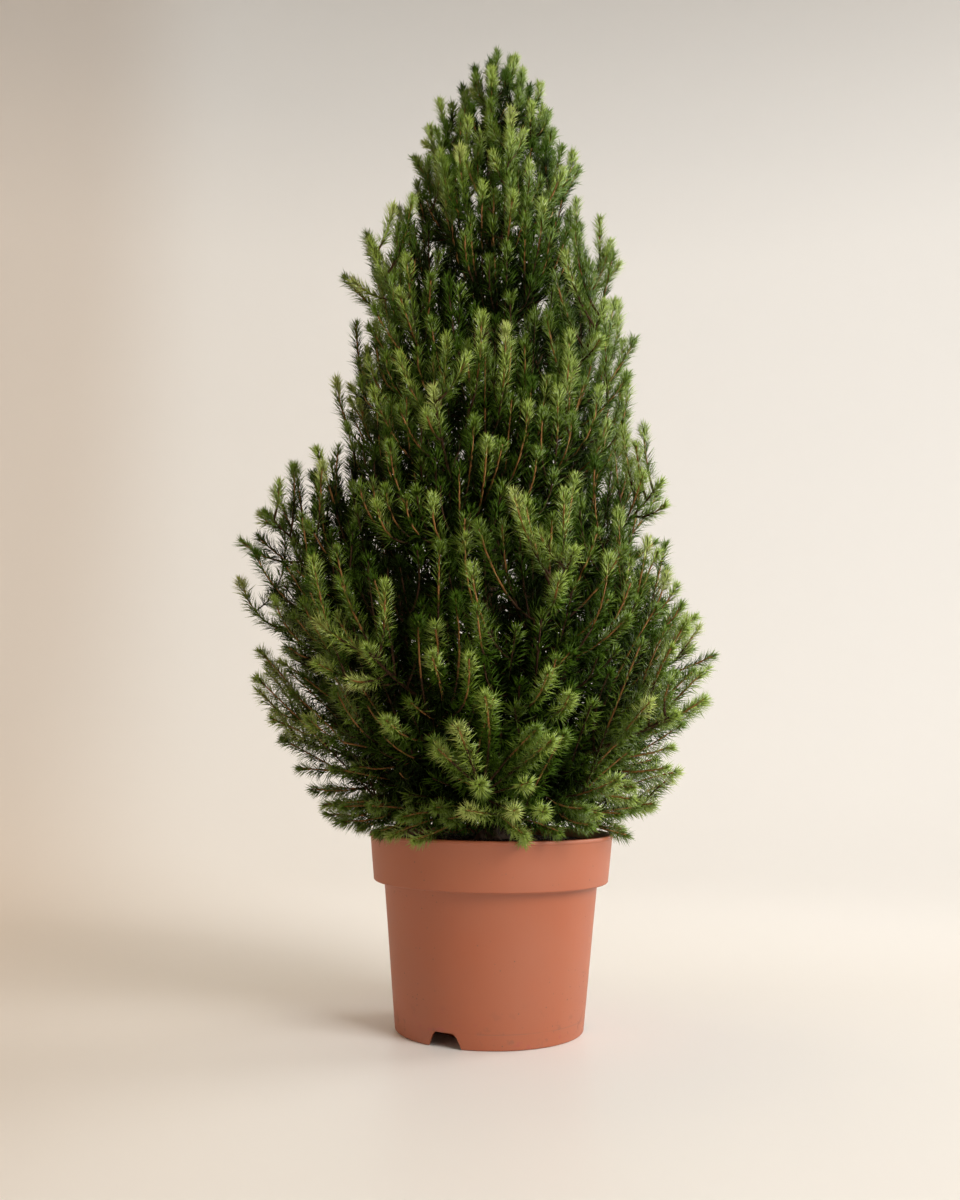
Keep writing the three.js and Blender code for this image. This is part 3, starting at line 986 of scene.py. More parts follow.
@dataclass
class Growth:
    """Grows the crown's shoots: stems, the first shoots on them, and finer ones from those."""

    crown: Crown
    lowest_heading: float = 8  # degrees above level
    highest_heading: float = 84
    heading_height: float = 225 * MM  # above the pot, where headings come to their highest
    side_spread: float = 0.4  # how much higher headings still lean out at the sides
    side_focus: int = 4  # how narrow the sides are
    wander: float = 11  # degrees by which headings differ
    swing_wander: float = 2  # how many times as much they differ round the axis
    least_length: float = 30 * MM
    least_points: int = 5  # of a path
    root_points: int = 3  # of a path, which may lie outside its limb's space
    least_depth: float = 3 * MM  # of a path's points inside the crown's outline
    spare: float = -0.5 * MM  # room past the solids' clearance; below zero, twigs come closer
    spacing: float = 12 * MM  # between the outer halves of shoots
    full_reach: float = 140 * MM  # of the crown, where shoots have their full size
    least_size: float = 0.4
    trunk_from: float = 220 * MM  # above this height shoots stand on the trunk too
    trunk_step: float = 6 * MM
    stem_points: int = 20
    stem_tip: float = 0.8 * MM
    stem_bare: float = 0.35
    hollow_depth: float = 25 * MM
    hollow_level: float = 0.55
    hollow_contrast: float = 1.6
    hollow_top: float = 800 * MM  # no hollows reach above this height
    hollow_fade: float = 100 * MM
    hollow_grain: tuple[float, float, float] = (24.0, 24.0, 9.0)  # hollows to a metre
    droop: float = 20  # degrees by which the lowest shoots hang
    droop_height: float = 235 * MM
    lowest_place: float = 163 * MM
    gap_azimuth: float = -42  # where the crown's underside lifts off the pot
    gap_width: float = 28
    gap_lift: float = 43 * MM
    overhang: float = 22 * MM  # how far shoots may hang past the rim elsewhere
    gap_fade: float = 30 * MM  # the lift is gone this far outside the rim
    draws_to_a_try: int = 8  # random places drawn for each one that is tried
    seed: int = 77
    first: FirstRule = FirstRule()
    # Tries, least and most depth, least and most length, and the widest angle.
    fills: tuple[FillRule, ...] = (
        FillRule(1000, 4 * MM, 30 * MM, 50 * MM, 130 * MM, 60, hollow=0, highest=190 * MM),
        FillRule(460, 4 * MM, 12 * MM, 75 * MM, 145 * MM, 55, hollow=0.2),
        FillRule(14000, 19 * MM, 50 * MM, 70 * MM, 135 * MM, 50),
        FillRule(20000, 18 * MM, 60 * MM, 55 * MM, 110 * MM, 58),
        FillRule(12000, 30 * MM, 85 * MM, 40 * MM, 100 * MM, 65),
        FillRule(16000, 19 * MM, 66 * MM, 38 * MM, 90 * MM, 65),
        FillRule(6500, 60 * MM, 150 * MM, 34 * MM, 110 * MM, 75, hollow=0),
    )
    shoots: list[Shoot] = field(default_factory=list)
    roots: list[list[Array]] = field(default_factory=list)

    STEPS = 12  # to a path
    UNFIT = -9.0  # the score of a root that can't serve

    def __post_init__(self) -> None:
        """Starts the random numbers and the empty space."""
        self.rng = np.random.default_rng(self.seed)
        self.space = Occupancy(self.spacing)

    def grow(self) -> list[Shoot]:
        """Grows all the shoots.

        Returns:
            The shoots, stems first.
        """
        trunk = self.crown.trunk.centre(np.arange(self.trunk_from, TRUNK.tip_height, self.trunk_step))
        self.roots = [[trunk] for _ in self.crown.limbs]
        stems = [self._stem(limb) for limb in self.crown.limbs]
        for stem in stems:
            self._keep(stem)
        for stem in stems:
            self._first_shoots(stem)
        LOG.info("%d stems and first shoots", len(self.shoots))
        for rule in self.fills:
            self._fill(rule)
            LOG.info("%d shoots after filling to %.0f mm", len(self.shoots), rule.most_depth / MM)
        return self.shoots

    def _keep(self, shoot: Shoot) -> None:
        """Adds a shoot, takes the space of its outer half and lets others root on it, short of its tip.

        Args:
            shoot: The shoot.
        """
        self.shoots.append(shoot)
        self.space.mark(shoot.path[len(shoot.path) // 2 :])
        self.roots[shoot.limb.index].append(shoot.path[1 : -len(shoot.path) // 5])

    def _stem(self, limb: Limb) -> Shoot:
        """The stem that goes on from a bough's wood to the limb's tip.

        Args:
            limb: The limb.

        Returns:
            The stem.
        """
        path = limb.points(np.linspace(limb.wood_share, 1, self.stem_points))
        radius = limb.radius * (BOUGHS.tip_taper if limb.wood_share else 1)
        return Shoot(limb, path, radius, self.stem_tip, self.stem_bare, is_stem=True)

    def headings(self, places: Array) -> Array:
        """The directions that shoots end up in: outwards low down, nearly upright higher.

        Args:
            places: Where the shoots are.

        Returns:
            A unit direction for each.
        """
        beside = places[:, 0] / np.maximum(np.hypot(places[:, 0], places[:, 1]), 1 * MM)
        upright = self.heading_height * (1 + self.side_spread * beside**self.side_focus)
        share = np.clip((places[:, 2] - POT.height) / upright, 0, 1)
        spread = self.rng.uniform(-self.wander, self.wander, (2, len(places)))
        low = np.clip((self.droop_height - places[:, 2]) / (self.droop_height - POT.height), 0, 1)
        tilt = mix(self.lowest_heading, self.highest_heading, share) + spread[0] - self.droop * low
        tilt = np.radians(tilt)
        swing = np.arctan2(places[:, 1], places[:, 0]) + np.radians(spread[1] * self.swing_wander)
        return np.stack([np.cos(tilt) * np.cos(swing), np.cos(tilt) * np.sin(swing), np.sin(tilt)], -1)

    def _first_shoots(self, stem: Shoot) -> None:
        """The shoots that stand on a stem by the golden angle.

        Args:
            stem: The stem that they grow from.
        """
        rule = self.first
        places = max(2, int(stem.length * (rule.last_share - rule.first_share) / rule.step))
        count = places * rule.rolls
        at = mix(rule.first_share, rule.last_share, (np.arange(places) + 0.5) / places)
        share = np.repeat(at, rule.rolls)
        marks = np.linspace(0, 1, len(stem.path))
        root = sampled(share, marks, stem.path)
        ahead = unit(sampled(share, marks, frames_along(stem.path)[0]))
        across = unit(np.cross(ahead, UP) + [1e-6, 0, 0])
        roll = np.radians(GOLDEN_ANGLE * np.arange(count) + rule.first_roll)[:, None]
        across = across * np.cos(roll) + np.cross(ahead, across) * np.sin(roll)
        slant = math.radians(rule.slant)
        leaves = ahead * math.cos(slant) + across * math.sin(slant)
        bent = unit(self.headings(root) * (1 - rule.straightness) + leaves * rule.straightness)
        length = self.rng.uniform(rule.shortest, rule.longest, count) * (1 - rule.tapering * share)
        length = (length * self.size(root))[:, None]
        elbow = root + leaves * length * rule.elbow
        paths = self._curves(root, elbow, elbow + bent * length * (1 - rule.elbow))
        room = self._room(stem.limb, paths)
        served: set[int] = set()
        for tried, path in enumerate(paths):
            place, path = tried // rule.rolls, path[: room[tried]]
            if place not in served and self._worth_growing(path):
                served.add(place)
                self._keep(Shoot(stem.limb, path, *rule.wood))

    def _curves(self, root: Array, elbow: Array, tip: Array) -> Array:
        """Smooth paths from roots to tips, as path, point and coordinate."""
        shares = np.linspace(0, 1, self.STEPS + 1)[None, :, None]
        return quadratic(root[:, None], elbow[:, None], tip[:, None], shares)

    def _fill(self, rule: FillRule) -> None:
        """Sends shoots to empty places, each from the best root on its own limb.

        Args:
            rule: Which places, and which shoots.
        """
        places = self._places(rule)
        headings = self.headings(places)
        owners = self.crown.distances(places).argmin(1)
        roots = [np.concatenate(paths) for paths in self.roots]
        sizes = self.size(places)
        wanted = self.rng.uniform(rule.shortest, rule.longest, len(places)) * sizes
        for place, heading, owner, length, size in zip(places, headings, owners, wanted, sizes):
            if not self.space.free(place[None]):
                continue
            away = place - roots[owner]
            distance = np.linalg.norm(away, axis=1)
            along = away @ heading / distance
            score = along * 2 - np.abs(distance / length - 1)  # heading first, then length
            score[(distance < rule.shortest * size) | (distance > rule.longest)] = self.UNFIT
            score[along < math.cos(math.radians(rule.widest))] = self.UNFIT
            best = int(score.argmax())
            if score[best] == self.UNFIT:
                continue
            root = roots[owner][best]
            elbow = place - heading * distance[best] * rule.bend
            path = self._curves(root[None], elbow[None], place[None])[0]
            limb = self.crown.limbs[owner]
            if self._worth_growing(path) and self._room(limb, path[None])[0] == len(path):
                self._keep(Shoot(limb, path, *rule.wood))
                roots[owner] = np.concatenate([roots[owner], self.roots[owner][-1]])

    def _places(self, rule: FillRule) -> Array:
        """Random places in the crown at the depths that a rule names.

        Args:
            rule: The depths, and how strongly it leaves hollows dark.

        Returns:
            The places, one row each.
        """
        low, high = (0, self.lowest_place, 0), (2 * math.pi, rule.highest, 1)
        swing, height, share = self.rng.uniform(low, high, (rule.tries * self.draws_to_a_try, 3)).T
        outward = np.stack([np.cos(swing), np.sin(swing), 0 * swing], -1)
        reach = self.crown.reach(outward + UP * height[:, None])
        places = outward * (reach * np.sqrt(share))[:, None] + UP * height[:, None]
        depth = self.crown.depth(places) / self.size(places)
        places = places[(depth > rule.least_depth) & (depth < rule.most_depth)][: rule.tries]
        depth = self.crown.depth(places) / self.size(places)
        hollows = np.array([noise.noise(Vector(p) * Vector(self.hollow_grain)) for p in places])
        shut = rule.hollow * self.hollow_depth
        shut *= np.clip(self.hollow_level - self.hollow_contrast * hollows, 0, 1)
        shut *= np.clip((self.hollow_top - places[:, 2]) / self.hollow_fade, 0, 1)
        return places[depth > rule.least_depth + shut]

    def size(self, places: Array) -> Array:
        """How much smaller shoots are where the crown is narrow, as a share of 1."""
        return np.clip(self.crown.reach(places) / self.full_reach, self.least_size, 1)

    def _room(self, limb: Limb, paths: Array) -> Array:
        """How many points of each path lie in its limb's space and in the crown before it leaves them.

        Args:
            limb: The limb that the paths belong to.
            paths: Points as path, point and coordinate.

        Returns:
            A count for each path.
        """
        fits = self.crown.has_room(limb, paths.reshape(-1, 3), self.spare).reshape(paths.shape[:2])
        fits &= (self.crown.depth(paths) > self.least_depth) & (paths[..., 2] > self._underside(paths))
        fits[:, : self.root_points] = True
        return np.where(fits.all(1), fits.shape[1], np.argmin(fits, 1))

    def _underside(self, points: Array) -> Array:
        """How low shoots may hang, which is less low where a gap shows the soil.

        Args:
            points: Points of shoots.

        Returns:
            The least height at each.
        """
        swing = np.degrees(np.arctan2(points[..., 1], points[..., 0])) - self.gap_azimuth
        outside = (np.hypot(points[..., 0], points[..., 1]) - POT.rim_radius) / self.gap_fade
        lift = self.gap_lift * np.exp(-((swing / self.gap_width) ** 2)) * np.clip(1 - outside, 0, 1)
        return POT.height - self.overhang + lift

    def _worth_growing(self, path: Array) -> bool:
        """Whether a path is long enough and keeps its distance from the shoots that are there.

        Args:
            path: The path's points, from its root.

        Returns:
            True or False.
        """
        if len(path) < self.least_points or step_lengths(path).sum() < self.least_length:
            return False
        return self.space.free(path[len(path) // 2 :])


# ---- Twigs and needles ----


@dataclass
class TwigWork:
    """The wood of the shoots: four-sided tapering twigs, young and old, on six-sided stems."""

    crown: Crown
    shoots: list[Shoot]
    nodes: Sequence[str]
    sides: int = 4
    stem_sides: int = 6
    shaded_depth: float = 42 * MM  # shoots that end deeper in the crown have no young wood

    def build(self) -> None:
        """Makes one piece for each age of twig."""
        piles = {age: MeshPile() for age in TwigAge}
        for shoot in self.shoots:
            path = shoot.path[:: 1 if shoot.is_stem else 2]
            if not np.array_equal(path[-1], shoot.path[-1]):
                path = np.concatenate([path, shoot.path[-1:]])
            radii = np.linspace(shoot.start_radius, shoot.end_radius, len(path))
            rings = rings_round(path, radii, self.stem_sides if shoot.is_stem else self.sides)
            shaded = shoot.is_stem or self.crown.depth(path[-1]) > self.shaded_depth
            joint = len(path) - 1 if shaded else len(path) // 2
            piles[TwigAge.OLD].add(*tube(rings[: joint + 1]))
            if not shaded:
                piles[TwigAge.YOUNG].add(*tube(rings[joint:]))
        for age, pile in piles.items():
            piece = object_from(pile.mesh(f"twigs_{age.value}"), TWIG_FINISHES[age].make())
            put_in_place(piece, self.nodes)


@dataclass
class NeedleSprays:
    """The needles: slivers of four faces, set round each shoot by the golden angle."""

    crown: Crown
    shoots: list[Shoot]
    nodes: Sequence[str]
    length: float = 12.8 * MM
    top_length: float = 11 * MM
    width: float = 0.88 * MM
    thickness: float = 0.5 * MM
    pitch: float = 0.205 * MM  # along the shoot, from one needle to the next
    top_pitch: float = 0.13 * MM  # the same in the crown's narrow top
    least_count: int = 8  # needles on a shoot
    stagger: float = 0.3  # of the pitch, along the shoot
    size_range: tuple[float, float] = (0.74, 1.1)
    widest_at: float = 0.45  # of a needle's length
    curl: float = 0.08  # how far a needle's tip bends forward
    tuft: float = 0.11  # the share of a shoot's needles that crowd its tip
    tuft_length: float = 9 * MM
    tuft_size: float = 0.58  # needles that point forward in the tuft are shorter
    tuft_growth: float = 0.32  # and grow by this much as they open
    tip_slants: tuple[float, float] = (6, 58)  # degrees between a tuft's needles and the shoot
    wide_slant: float = 60  # the same along a shoot, at the foot of the crown
    top_slant: float = 47  # and in its top
    slant_wander: float = 12
    roll_wander: float = 0.45  # radians round the shoot
    aim_wander: float = 0.115
    wide_below: float = 300 * MM  # needles stand out wider at the foot of the crown
    wide_fade: float = 300 * MM
    hang: float = -0.28  # how strongly needles turn down at the pot
    rise: float = 0.06  # and up above it
    hang_height: float = 0.17
    hang_fade: float = 0.15
    spray: float = 17 * MM  # the length of shoot whose needles share a shade
    thin_depth: float = 34 * MM  # needles start to thin out at this depth in the crown
    bare_depth: float = 110 * MM  # and are fewest by this depth
    thinned: float = 0.47  # the share left out where they start to thin out
    more_thinned: float = 0.36  # and added to it where they are fewest
    inner_length: float = 0.6  # how much longer the needles are where they are fewest
    inner_width: float = 1.6  # and how much wider
    rim_clearance: float = 1 * MM  # above the pot
    wall_clearance: float = 1.5 * MM  # outside it
    full_reach: float = 120 * MM  # of the crown; where it is narrower, shades darken sooner
    least_reach: float = 0.45  # as a share of the full one, past which they darken no sooner
    outer_tone: float = 3.0  # the shade, as a number, at the crown's outside
    tone_depth: float = 26 * MM  # into the crown, from one shade to the next
    tip_tone: float = 0.5  # how much brighter a shoot's last spray is
    shoot_wander: float = 0.5  # how much shoots differ in tone
    spray_wander: float = 0.3  # and sprays of one shoot
    shade_side: float = 0.4  # how much duller the needles are on the side away from the light
    shade_reach: float = 0.2  # the distance from the axis where they are dullest
    seed: int = 20
    piece_limit: int = 46000  # needles to a piece, which keeps it under 200,000 faces

    FACES = np.array([[0, 2, 1], [0, 1, 3], [0, 3, 2], [1, 2, 3]])

    def build(self) -> None:
        """Makes the needles of every shoot and joins them by shade."""
        rng = np.random.default_rng(self.seed)
        found: dict[Shade, list[Array]] = {shade: [] for shade in Shade}
        for shoot in self.shoots:
            corners, shades = self._needles(shoot, rng)
            for shade in Shade:
                found[shade].append(corners[shades == shade])
        for shade, groups in found.items():
            self._pieces(shade, np.concatenate(groups))

    def _pieces(self, shade: Shade, needles: Array) -> None:
        """Joins the needles of one shade into pieces.

        Args:
            shade: Their shade.
            needles: Their corners, as needle, corner and coordinate.
        """
        material = NEEDLE_FINISHES[shade].make()
        parts = max(1, math.ceil(len(needles) / self.piece_limit))
        for number, part in enumerate(np.array_split(needles, parts)):
            faces = (self.FACES[None] + 4 * np.arange(len(part))[:, None, None]).reshape(-1, 3)
            name = f"needles_{shade.name.lower()}_{number + 1}"
            piece = object_from(mesh_from(name, part.reshape(-1, 3), faces), material)
            put_in_place(piece, self.nodes)

    def _needles(self, shoot: Shoot, rng: np.random.Generator) -> tuple[Array, Array]:
        """The needles of one shoot.

        Args:
            shoot: The shoot that carries them.
            rng: The stream of random numbers.

        Returns:
            Their corners, and the shade of each.
        """
        along = np.concatenate([[0], np.cumsum(step_lengths(shoot.path))])
        total = along[-1]
        start = total * shoot.bare
        top = np.clip((shoot.path[-1, 2] - self.wide_below - self.wide_fade) / self.wide_fade, 0, 1)
        count = max(self.least_count, int((total - start) / mix(self.pitch, self.top_pitch, top)))
        share = (np.arange(count) + rng.uniform(-self.stagger, self.stagger, count)) / count
        place = start + (total - start) * np.clip(share, 0, 1)
        crowd = rng.random(count) < self.tuft
        place[crowd] = total - rng.uniform(0, self.tuft_length, crowd.sum())
        forward, side, other = (sampled(place, along, d) for d in frames_along(shoot.path))
        base = sampled(place, along, shoot.path)
        roll = np.radians(GOLDEN_ANGLE) * np.arange(count) + rng.normal(0, self.roll_wander, count)
        radial = side * np.cos(roll)[:, None] + other * np.sin(roll)[:, None]

        to_tip = np.clip((total - place) / self.tuft_length, 0, 1)
        high = np.clip((base[:, 2] - self.wide_below) / self.wide_fade, 0, 1)
        open_tip = rng.uniform(*self.tip_slants, count)
        slant = mix(self.wide_slant, self.top_slant, high) + rng.normal(0, self.slant_wander, count)
        lean = np.radians(mix(open_tip, slant, to_tip))
        aim = forward * np.cos(lean)[:, None] + radial * np.sin(lean)[:, None]
        lift = mix(self.hang, self.rise, np.clip((base[:, 2] - self.hang_height) / self.hang_fade, 0, 1))
        aim = unit(aim + UP * lift[:, None] + rng.normal(0, self.aim_wander, (count, 3)))
        depth = self.crown.depth(base)
        inner = np.clip((depth - self.thin_depth) / (self.bare_depth - self.thin_depth), 0, 1)
        size = mix(self.length, self.top_length, top) * rng.uniform(*self.size_range, count)
        size *= 1 + self.inner_length * inner
        size *= mix(self.tuft_size + self.tuft_growth * open_tip / self.tip_slants[1], 1.0, to_tip)

        keep = rng.random(count) > self.thinned + self.more_thinned * inner
        keep |= depth < self.thin_depth
        keep &= self._off_the_rim(base + aim * size[:, None])
        across = unit(np.cross(aim, radial))
        under = np.cross(across, aim)
        reach = size[:, None]
        middle = base + aim * reach * self.widest_at - under * self.thickness
        half = across * (self.width / 2 * (1 + self.inner_width * inner))[:, None]
        tip = base + unit(aim + forward * self.curl) * reach
        corners = np.stack([base, tip, middle + half, middle - half], 1)
        shades = self._shades(shoot, base, total - place, rng)
        return corners[keep], shades[keep]

    def _off_the_rim(self, tips: Array) -> Array:
        """Whether needle tips stay out of the pot's wall and soil."""
        outside = np.hypot(tips[:, 0], tips[:, 1]) > POT.rim_radius + self.wall_clearance
        return (tips[:, 2] > POT.height + self.rim_clearance) | outside

    def _shades(self, shoot: Shoot, base: Array, to_go: Array, rng: np.random.Generator) -> Array:
        """Deals shades out by spray: darker inside the crown, partly as older needles and partly as painted
        shade, brightest at the tips.

        Args:
            shoot: The shoot.
            base: Where its needles stand.
            to_go: How far each stands from the shoot's tip.
            rng: The stream of random numbers.

        Returns:
            The shade of each needle.
        """
        spray = (to_go / self.spray).astype(int)
        sprays = spray.max() + 1
        narrow = np.clip(self.crown.reach(base) / self.full_reach, self.least_reach, 1)
        scaled = self.crown.depth(base) / narrow
        depth = np.array([scaled[spray == s].mean() if (spray == s).any() else 0 for s in range(sprays)])
        # Partly painted shade: the tone falls with depth into the crown.
        tone = self.outer_tone - depth / self.tone_depth
        tone = tone + rng.normal(0, self.shoot_wander) + rng.normal(0, self.spray_wander, sprays)
        tone[0] += self.tip_tone
        tone -= self.shade_side * np.clip(-shoot.path[-1, 0] / self.shade_reach, 0, 1)
        return np.clip(np.round(tone), 0, len(Shade) - 1).astype(int)[spray]


# ---- Trunk and boughs ----


@dataclass
class BarkedWood:
    """The trunk and the boughs, with the relief of their flaking bark."""

    crown: Crown
    trunk_sides: int = 56
    trunk_rings: int = 260
    bough_sides: int = 14
    bough_rings: int = 30
    relief: float = 0.07  # of the radius
    least_radius: float = 3 * MM  # thinner wood takes the relief of this radius
    flake: float = 150  # flakes to a metre round, and half as many along
    flake_level: float = 0.4
    fine_flake: float = 2.7  # how much finer the second layer of flakes is
    fine_share: float = 0.5
    ring_crowding: float = 1.25  # towards the foot
    lobes: int = 5  # of the root flare
    lobe_gain: float = 1.6
    lobe_twist: float = 40  # radians to a metre
    collar: float = 0.7  # how much thicker a bough is at the trunk
    collar_fade: float = 9
    bough_start: float = 0.03  # which is well inside the trunk

    def build(self) -> None:
        """Makes the trunk and the boughs."""
        material = BarkFinish().make()
        trunk = object_from(self._trunk("trunk_bark"), material)
        trunk.data.shade_smooth()
        put_in_place(trunk, ["trunk"])
        pile = MeshPile()
        for limb in self.crown.limbs[: BOUGHS.count]:
            pile.add(*self._bough(limb))
        boughs = object_from(pile.mesh("bough_bark"), material)
        boughs.data.shade_smooth()
        put_in_place(boughs, [f"bough_{n + 1:02d}" for n in range(BOUGHS.count)])

    def _rough(self, rings: Array, centres: Array, radii: Array) -> Array:
        """Rings with the bark's relief added.

        Args:
            rings: Smooth rings of points.
            centres: Their centres.
            radii: Their radii.

        Returns:
            The rings, pushed out and in.
        """
        stretch = Vector((self.flake, self.flake, self.flake / 2))
        out = unit(rings - centres[:, None])
        push = np.empty(rings.shape[:2])
        for index in np.ndindex(push.shape):
            place = Vector(rings[index]) * stretch
            flakes = abs(noise.noise(place)) * 2 - self.flake_level
            push[index] = flakes + self.fine_share * noise.noise(place * self.fine_flake)
        return rings + out * (push * self.relief * np.maximum(radii, self.least_radius)[:, None])[..., None]

    def _trunk(self, name: str) -> bpy.types.Mesh:
        """The trunk: root flare, taper, lean and relief, whole to its tip.

        Args:
            name: The mesh's name.

        Returns:
            The mesh.
        """
        share = np.linspace(0, 1, self.trunk_rings)
        heights = mix(TRUNK.foot_height, TRUNK.tip_height, share**self.ring_crowding)
        centres = self.crown.trunk.centre(heights)
        angle = circle(self.trunk_sides)
        flare = self.crown.trunk.flare(heights)
        wave = np.cos(self.lobes * angle + heights[:, None] * self.lobe_twist)
        lobes = 1 + self.lobe_gain * TRUNK.flare_lobes * flare[:, None] * wave
        radii = self.crown.trunk.radius(heights)
        out = np.stack([np.cos(angle), np.sin(angle), 0 * angle], -1)
        rings = centres[:, None] + (radii[:, None] * lobes)[..., None] * out
        points, faces = tube(self._rough(rings, centres, radii), closed_tip=False)
        return mesh_from(name, points, faces)

    def _bough(self, limb: Limb) -> tuple[Array, Array]:
        """One bough: a tapering limb with a swollen collar at the trunk.

        Args:
            limb: The limb whose wood it is.

        Returns:
            Points and triangles.
        """
        share = np.linspace(self.bough_start, 1, self.bough_rings)
        centres = limb.points(share * limb.wood_share)
        collar = 1 + self.collar * np.exp(-share * self.collar_fade)
        radii = limb.radius * mix(1, BOUGHS.tip_taper, share) * collar
        rings = rings_round(centres, radii, self.bough_sides)
        return tube(self._rough(rings, centres, radii), closed_tip=False)


# ---- Pot and soil ----


@dataclass
class NurseryPot:
    """The plastic pot: foot ring with notches, raised drainage channel, tapered body, band and beaded lip."""

    segments: int = 160
    name: str = "pot_shell"
    sharp_edge: float = 32  # degrees
    notch_corner: float = 3 * MM
    notch_depth: float = 10 * MM
    drain_sides: int = 24
    drain_heights: tuple[float, float, float] = (6 * MM, 12 * MM, 20 * MM)

    def build(self) -> None:
        """Makes the pot."""
        rings = turned_rings(self._profile(), self.segments)
        shell = object_from(mesh_from(self.name, *tube(rings, closed_tip=False)), PlasticFinish().make())
        cutters = [self._notch(k) for k in range(POT.notch_count)]
        cutters += [self._drain(k) for k in range(POT.drain_count)]
        for cutter in cutters:
            cut = shell.modifiers.new("cut", "BOOLEAN")
            cut.operation = "DIFFERENCE"
            cut.solver = "MANIFOLD"
            cut.object = cutter
        shell.data = evaluated_mesh(shell, self.name)
        for cutter in cutters:
            bpy.data.objects.remove(cutter)
        shell.data.shade_smooth()
        shell.data.set_sharp_from_angle(angle=math.radians(self.sharp_edge))
        put_in_place(shell, ["pot"])

    def _profile(self) -> list[tuple[float, float]]:
        """The pot's section, from the hub's middle round to the inside floor.

        Returns:
            Radius and height of each point.
        """
        p = POT
        shelf, lip = p.shelf, p.height - p.bead_height
        band_top = p.rim_radius - p.bead
        soft = 1.2 * MM  # the rounding of edges at the foot
        turn = 1.6 * MM  # of the band's lower edge
        small, large = 0.8 * MM, 1.3 * MM  # of the lip
        outside = [
            (p.hub_radius - soft, 0.0),
            (p.hub_radius, 0.4 * MM),
            (p.hub_radius + p.ramp, p.floor_lift - 0.6 * MM),
            (p.hub_radius + p.ramp + soft, p.floor_lift),
            (p.body_radius(p.floor_lift) - p.wall - 3 * MM, p.floor_lift),
            (p.body_radius(p.floor_lift) - p.wall - 1 * MM, p.floor_lift - 1 * MM),
            (p.base_radius - p.wall - 0.4 * MM, 0.3 * MM),
            (p.base_radius - p.wall - 0.1 * MM, 0.0),
            *self._round(p.base_radius - soft, soft, soft, -90, -4, 6),
            (p.body_radius(shelf * 0.3), shelf * 0.3),
            (p.body_radius(shelf * 0.65), shelf * 0.65),
            (p.body_radius(shelf) - 0.1 * MM, shelf - 3.2 * MM),
            (p.body_radius(shelf) + 0.7 * MM, shelf - 1.6 * MM),
            (p.body_radius(shelf) + 2.2 * MM, shelf - 1.0 * MM),
            *self._round(p.band_bottom_radius - turn, shelf + 0.6 * MM, turn, -90, 3, 6),
            (mix(p.band_bottom_radius, band_top, 0.5), mix(shelf, lip, 0.5)),
            (band_top - 0.05 * MM, lip - 0.6 * MM),
            (band_top + 0.15 * MM, lip - 0.1 * MM),
            *self._round(p.rim_radius - small, lip + small, small, -60, 0, 4),
            *self._round(p.rim_radius - large, p.height - large, large, 0, 90, 6),
        ]
        inside = [
            *self._round(band_top - p.wall + small, p.height - small, small, 90, 180, 5),
            (p.band_bottom_radius - p.wall, shelf + p.wall + 1 * MM),
            (p.band_bottom_radius - p.wall - 1 * MM, shelf + p.wall),
            (p.body_radius(shelf) - p.wall, shelf + p.wall - 1 * MM),
            (p.body_radius(p.floor_lift + p.wall) - p.wall, p.floor_lift + p.wall),
            (p.hub_radius + p.ramp - 1 * MM, p.floor_lift + p.wall),
            (p.hub_radius - 1 * MM, p.wall),
        ]
        return outside + inside

    @staticmethod
    def _round(
        x: float, z: float, radius: float, start: float, end: float, steps: int
    ) -> list[tuple[float, float]]:
        """A rounded corner as points.

        Args:
            x: The arc's centre, from the axis.
            z: The arc's centre, in height.
            radius: The arc's radius.
            start: Degrees at its first point.
            end: Degrees at its last point.
            steps: How many points it has.

        Returns:
            Radius and height of each point.
        """
        angles = np.radians(np.linspace(start, end, steps))
        return [(x + radius * math.cos(a), z + radius * math.sin(a)) for a in angles]

    @staticmethod
    def _block(name: str, points: list[tuple], depth: float) -> bpy.types.Object:
        """A prism over an outline in XZ, from -depth to depth along Y.

        Args:
            name: The object's name.
            points: The outline, as X and Z.
            depth: Half its depth.

        Returns:
            The prism, in the scene.
        """
        shape = bmesh.new()
        front = [shape.verts.new((x, -depth, z)) for x, z in points]
        back = [shape.verts.new((x, depth, z)) for x, z in points]
        shape.faces.new(front)
        shape.faces.new(back[::-1])
        for k in range(len(points)):
            n = (k + 1) % len(points)
            shape.faces.new([front[n], front[k], back[k], back[n]])
        bmesh.ops.recalc_face_normals(shape, faces=shape.faces)
        mesh = bpy.data.meshes.new(name)
        shape.to_mesh(mesh)
        shape.free()
        return linked(name, mesh)

    def _notch(self, index: int) -> bpy.types.Object:
        """The cutter of one drainage notch: a trapezium with rounded upper corners.

        Args:
            index: The notch's number.

        Returns:
            The cutter, in its place at the foot of the wall.
        """
        corner = self.notch_corner
        half_low, half_top, top = POT.notch_bottom / 2, POT.notch_top / 2, POT.notch_height
        right = [(half_low, -1 * MM), (half_top + corner / 3, top - corner)]
        right += self._round(half_top - corner, top - corner, corner, 20, 90, 5)
        outline = right + [(-x, z) for x, z in right[::-1]]
        made = self._block(f"notch_{index}", outline, self.notch_depth)
        azimuth = POT.notch_azimuth + 360 / POT.notch_count * index
        place = Matrix.Translation(level(azimuth) * POT.base_radius)
        made.data.transform(place @ Matrix.Rotation(math.radians(azimuth + 90), 4, "Z"))
        return made

    def _drain(self, index: int) -> bpy.types.Object:
        """The cutter of one drainage hole.

        Args:
            index: The hole's number.

        Returns:
            The cutter, in its place through the raised floor.
        """
        azimuth = POT.drain_azimuth + 360 / POT.drain_count * index
        path = level(azimuth) * POT.drain_circle + UP * np.array(self.drain_heights)[:, None]
        rings = rings_round(path, np.full(len(path), POT.drain_radius), self.drain_sides)
        return linked(f"drain_{index}", mesh_from(f"drain_{index}", *tube(rings, closed_tip=False)))


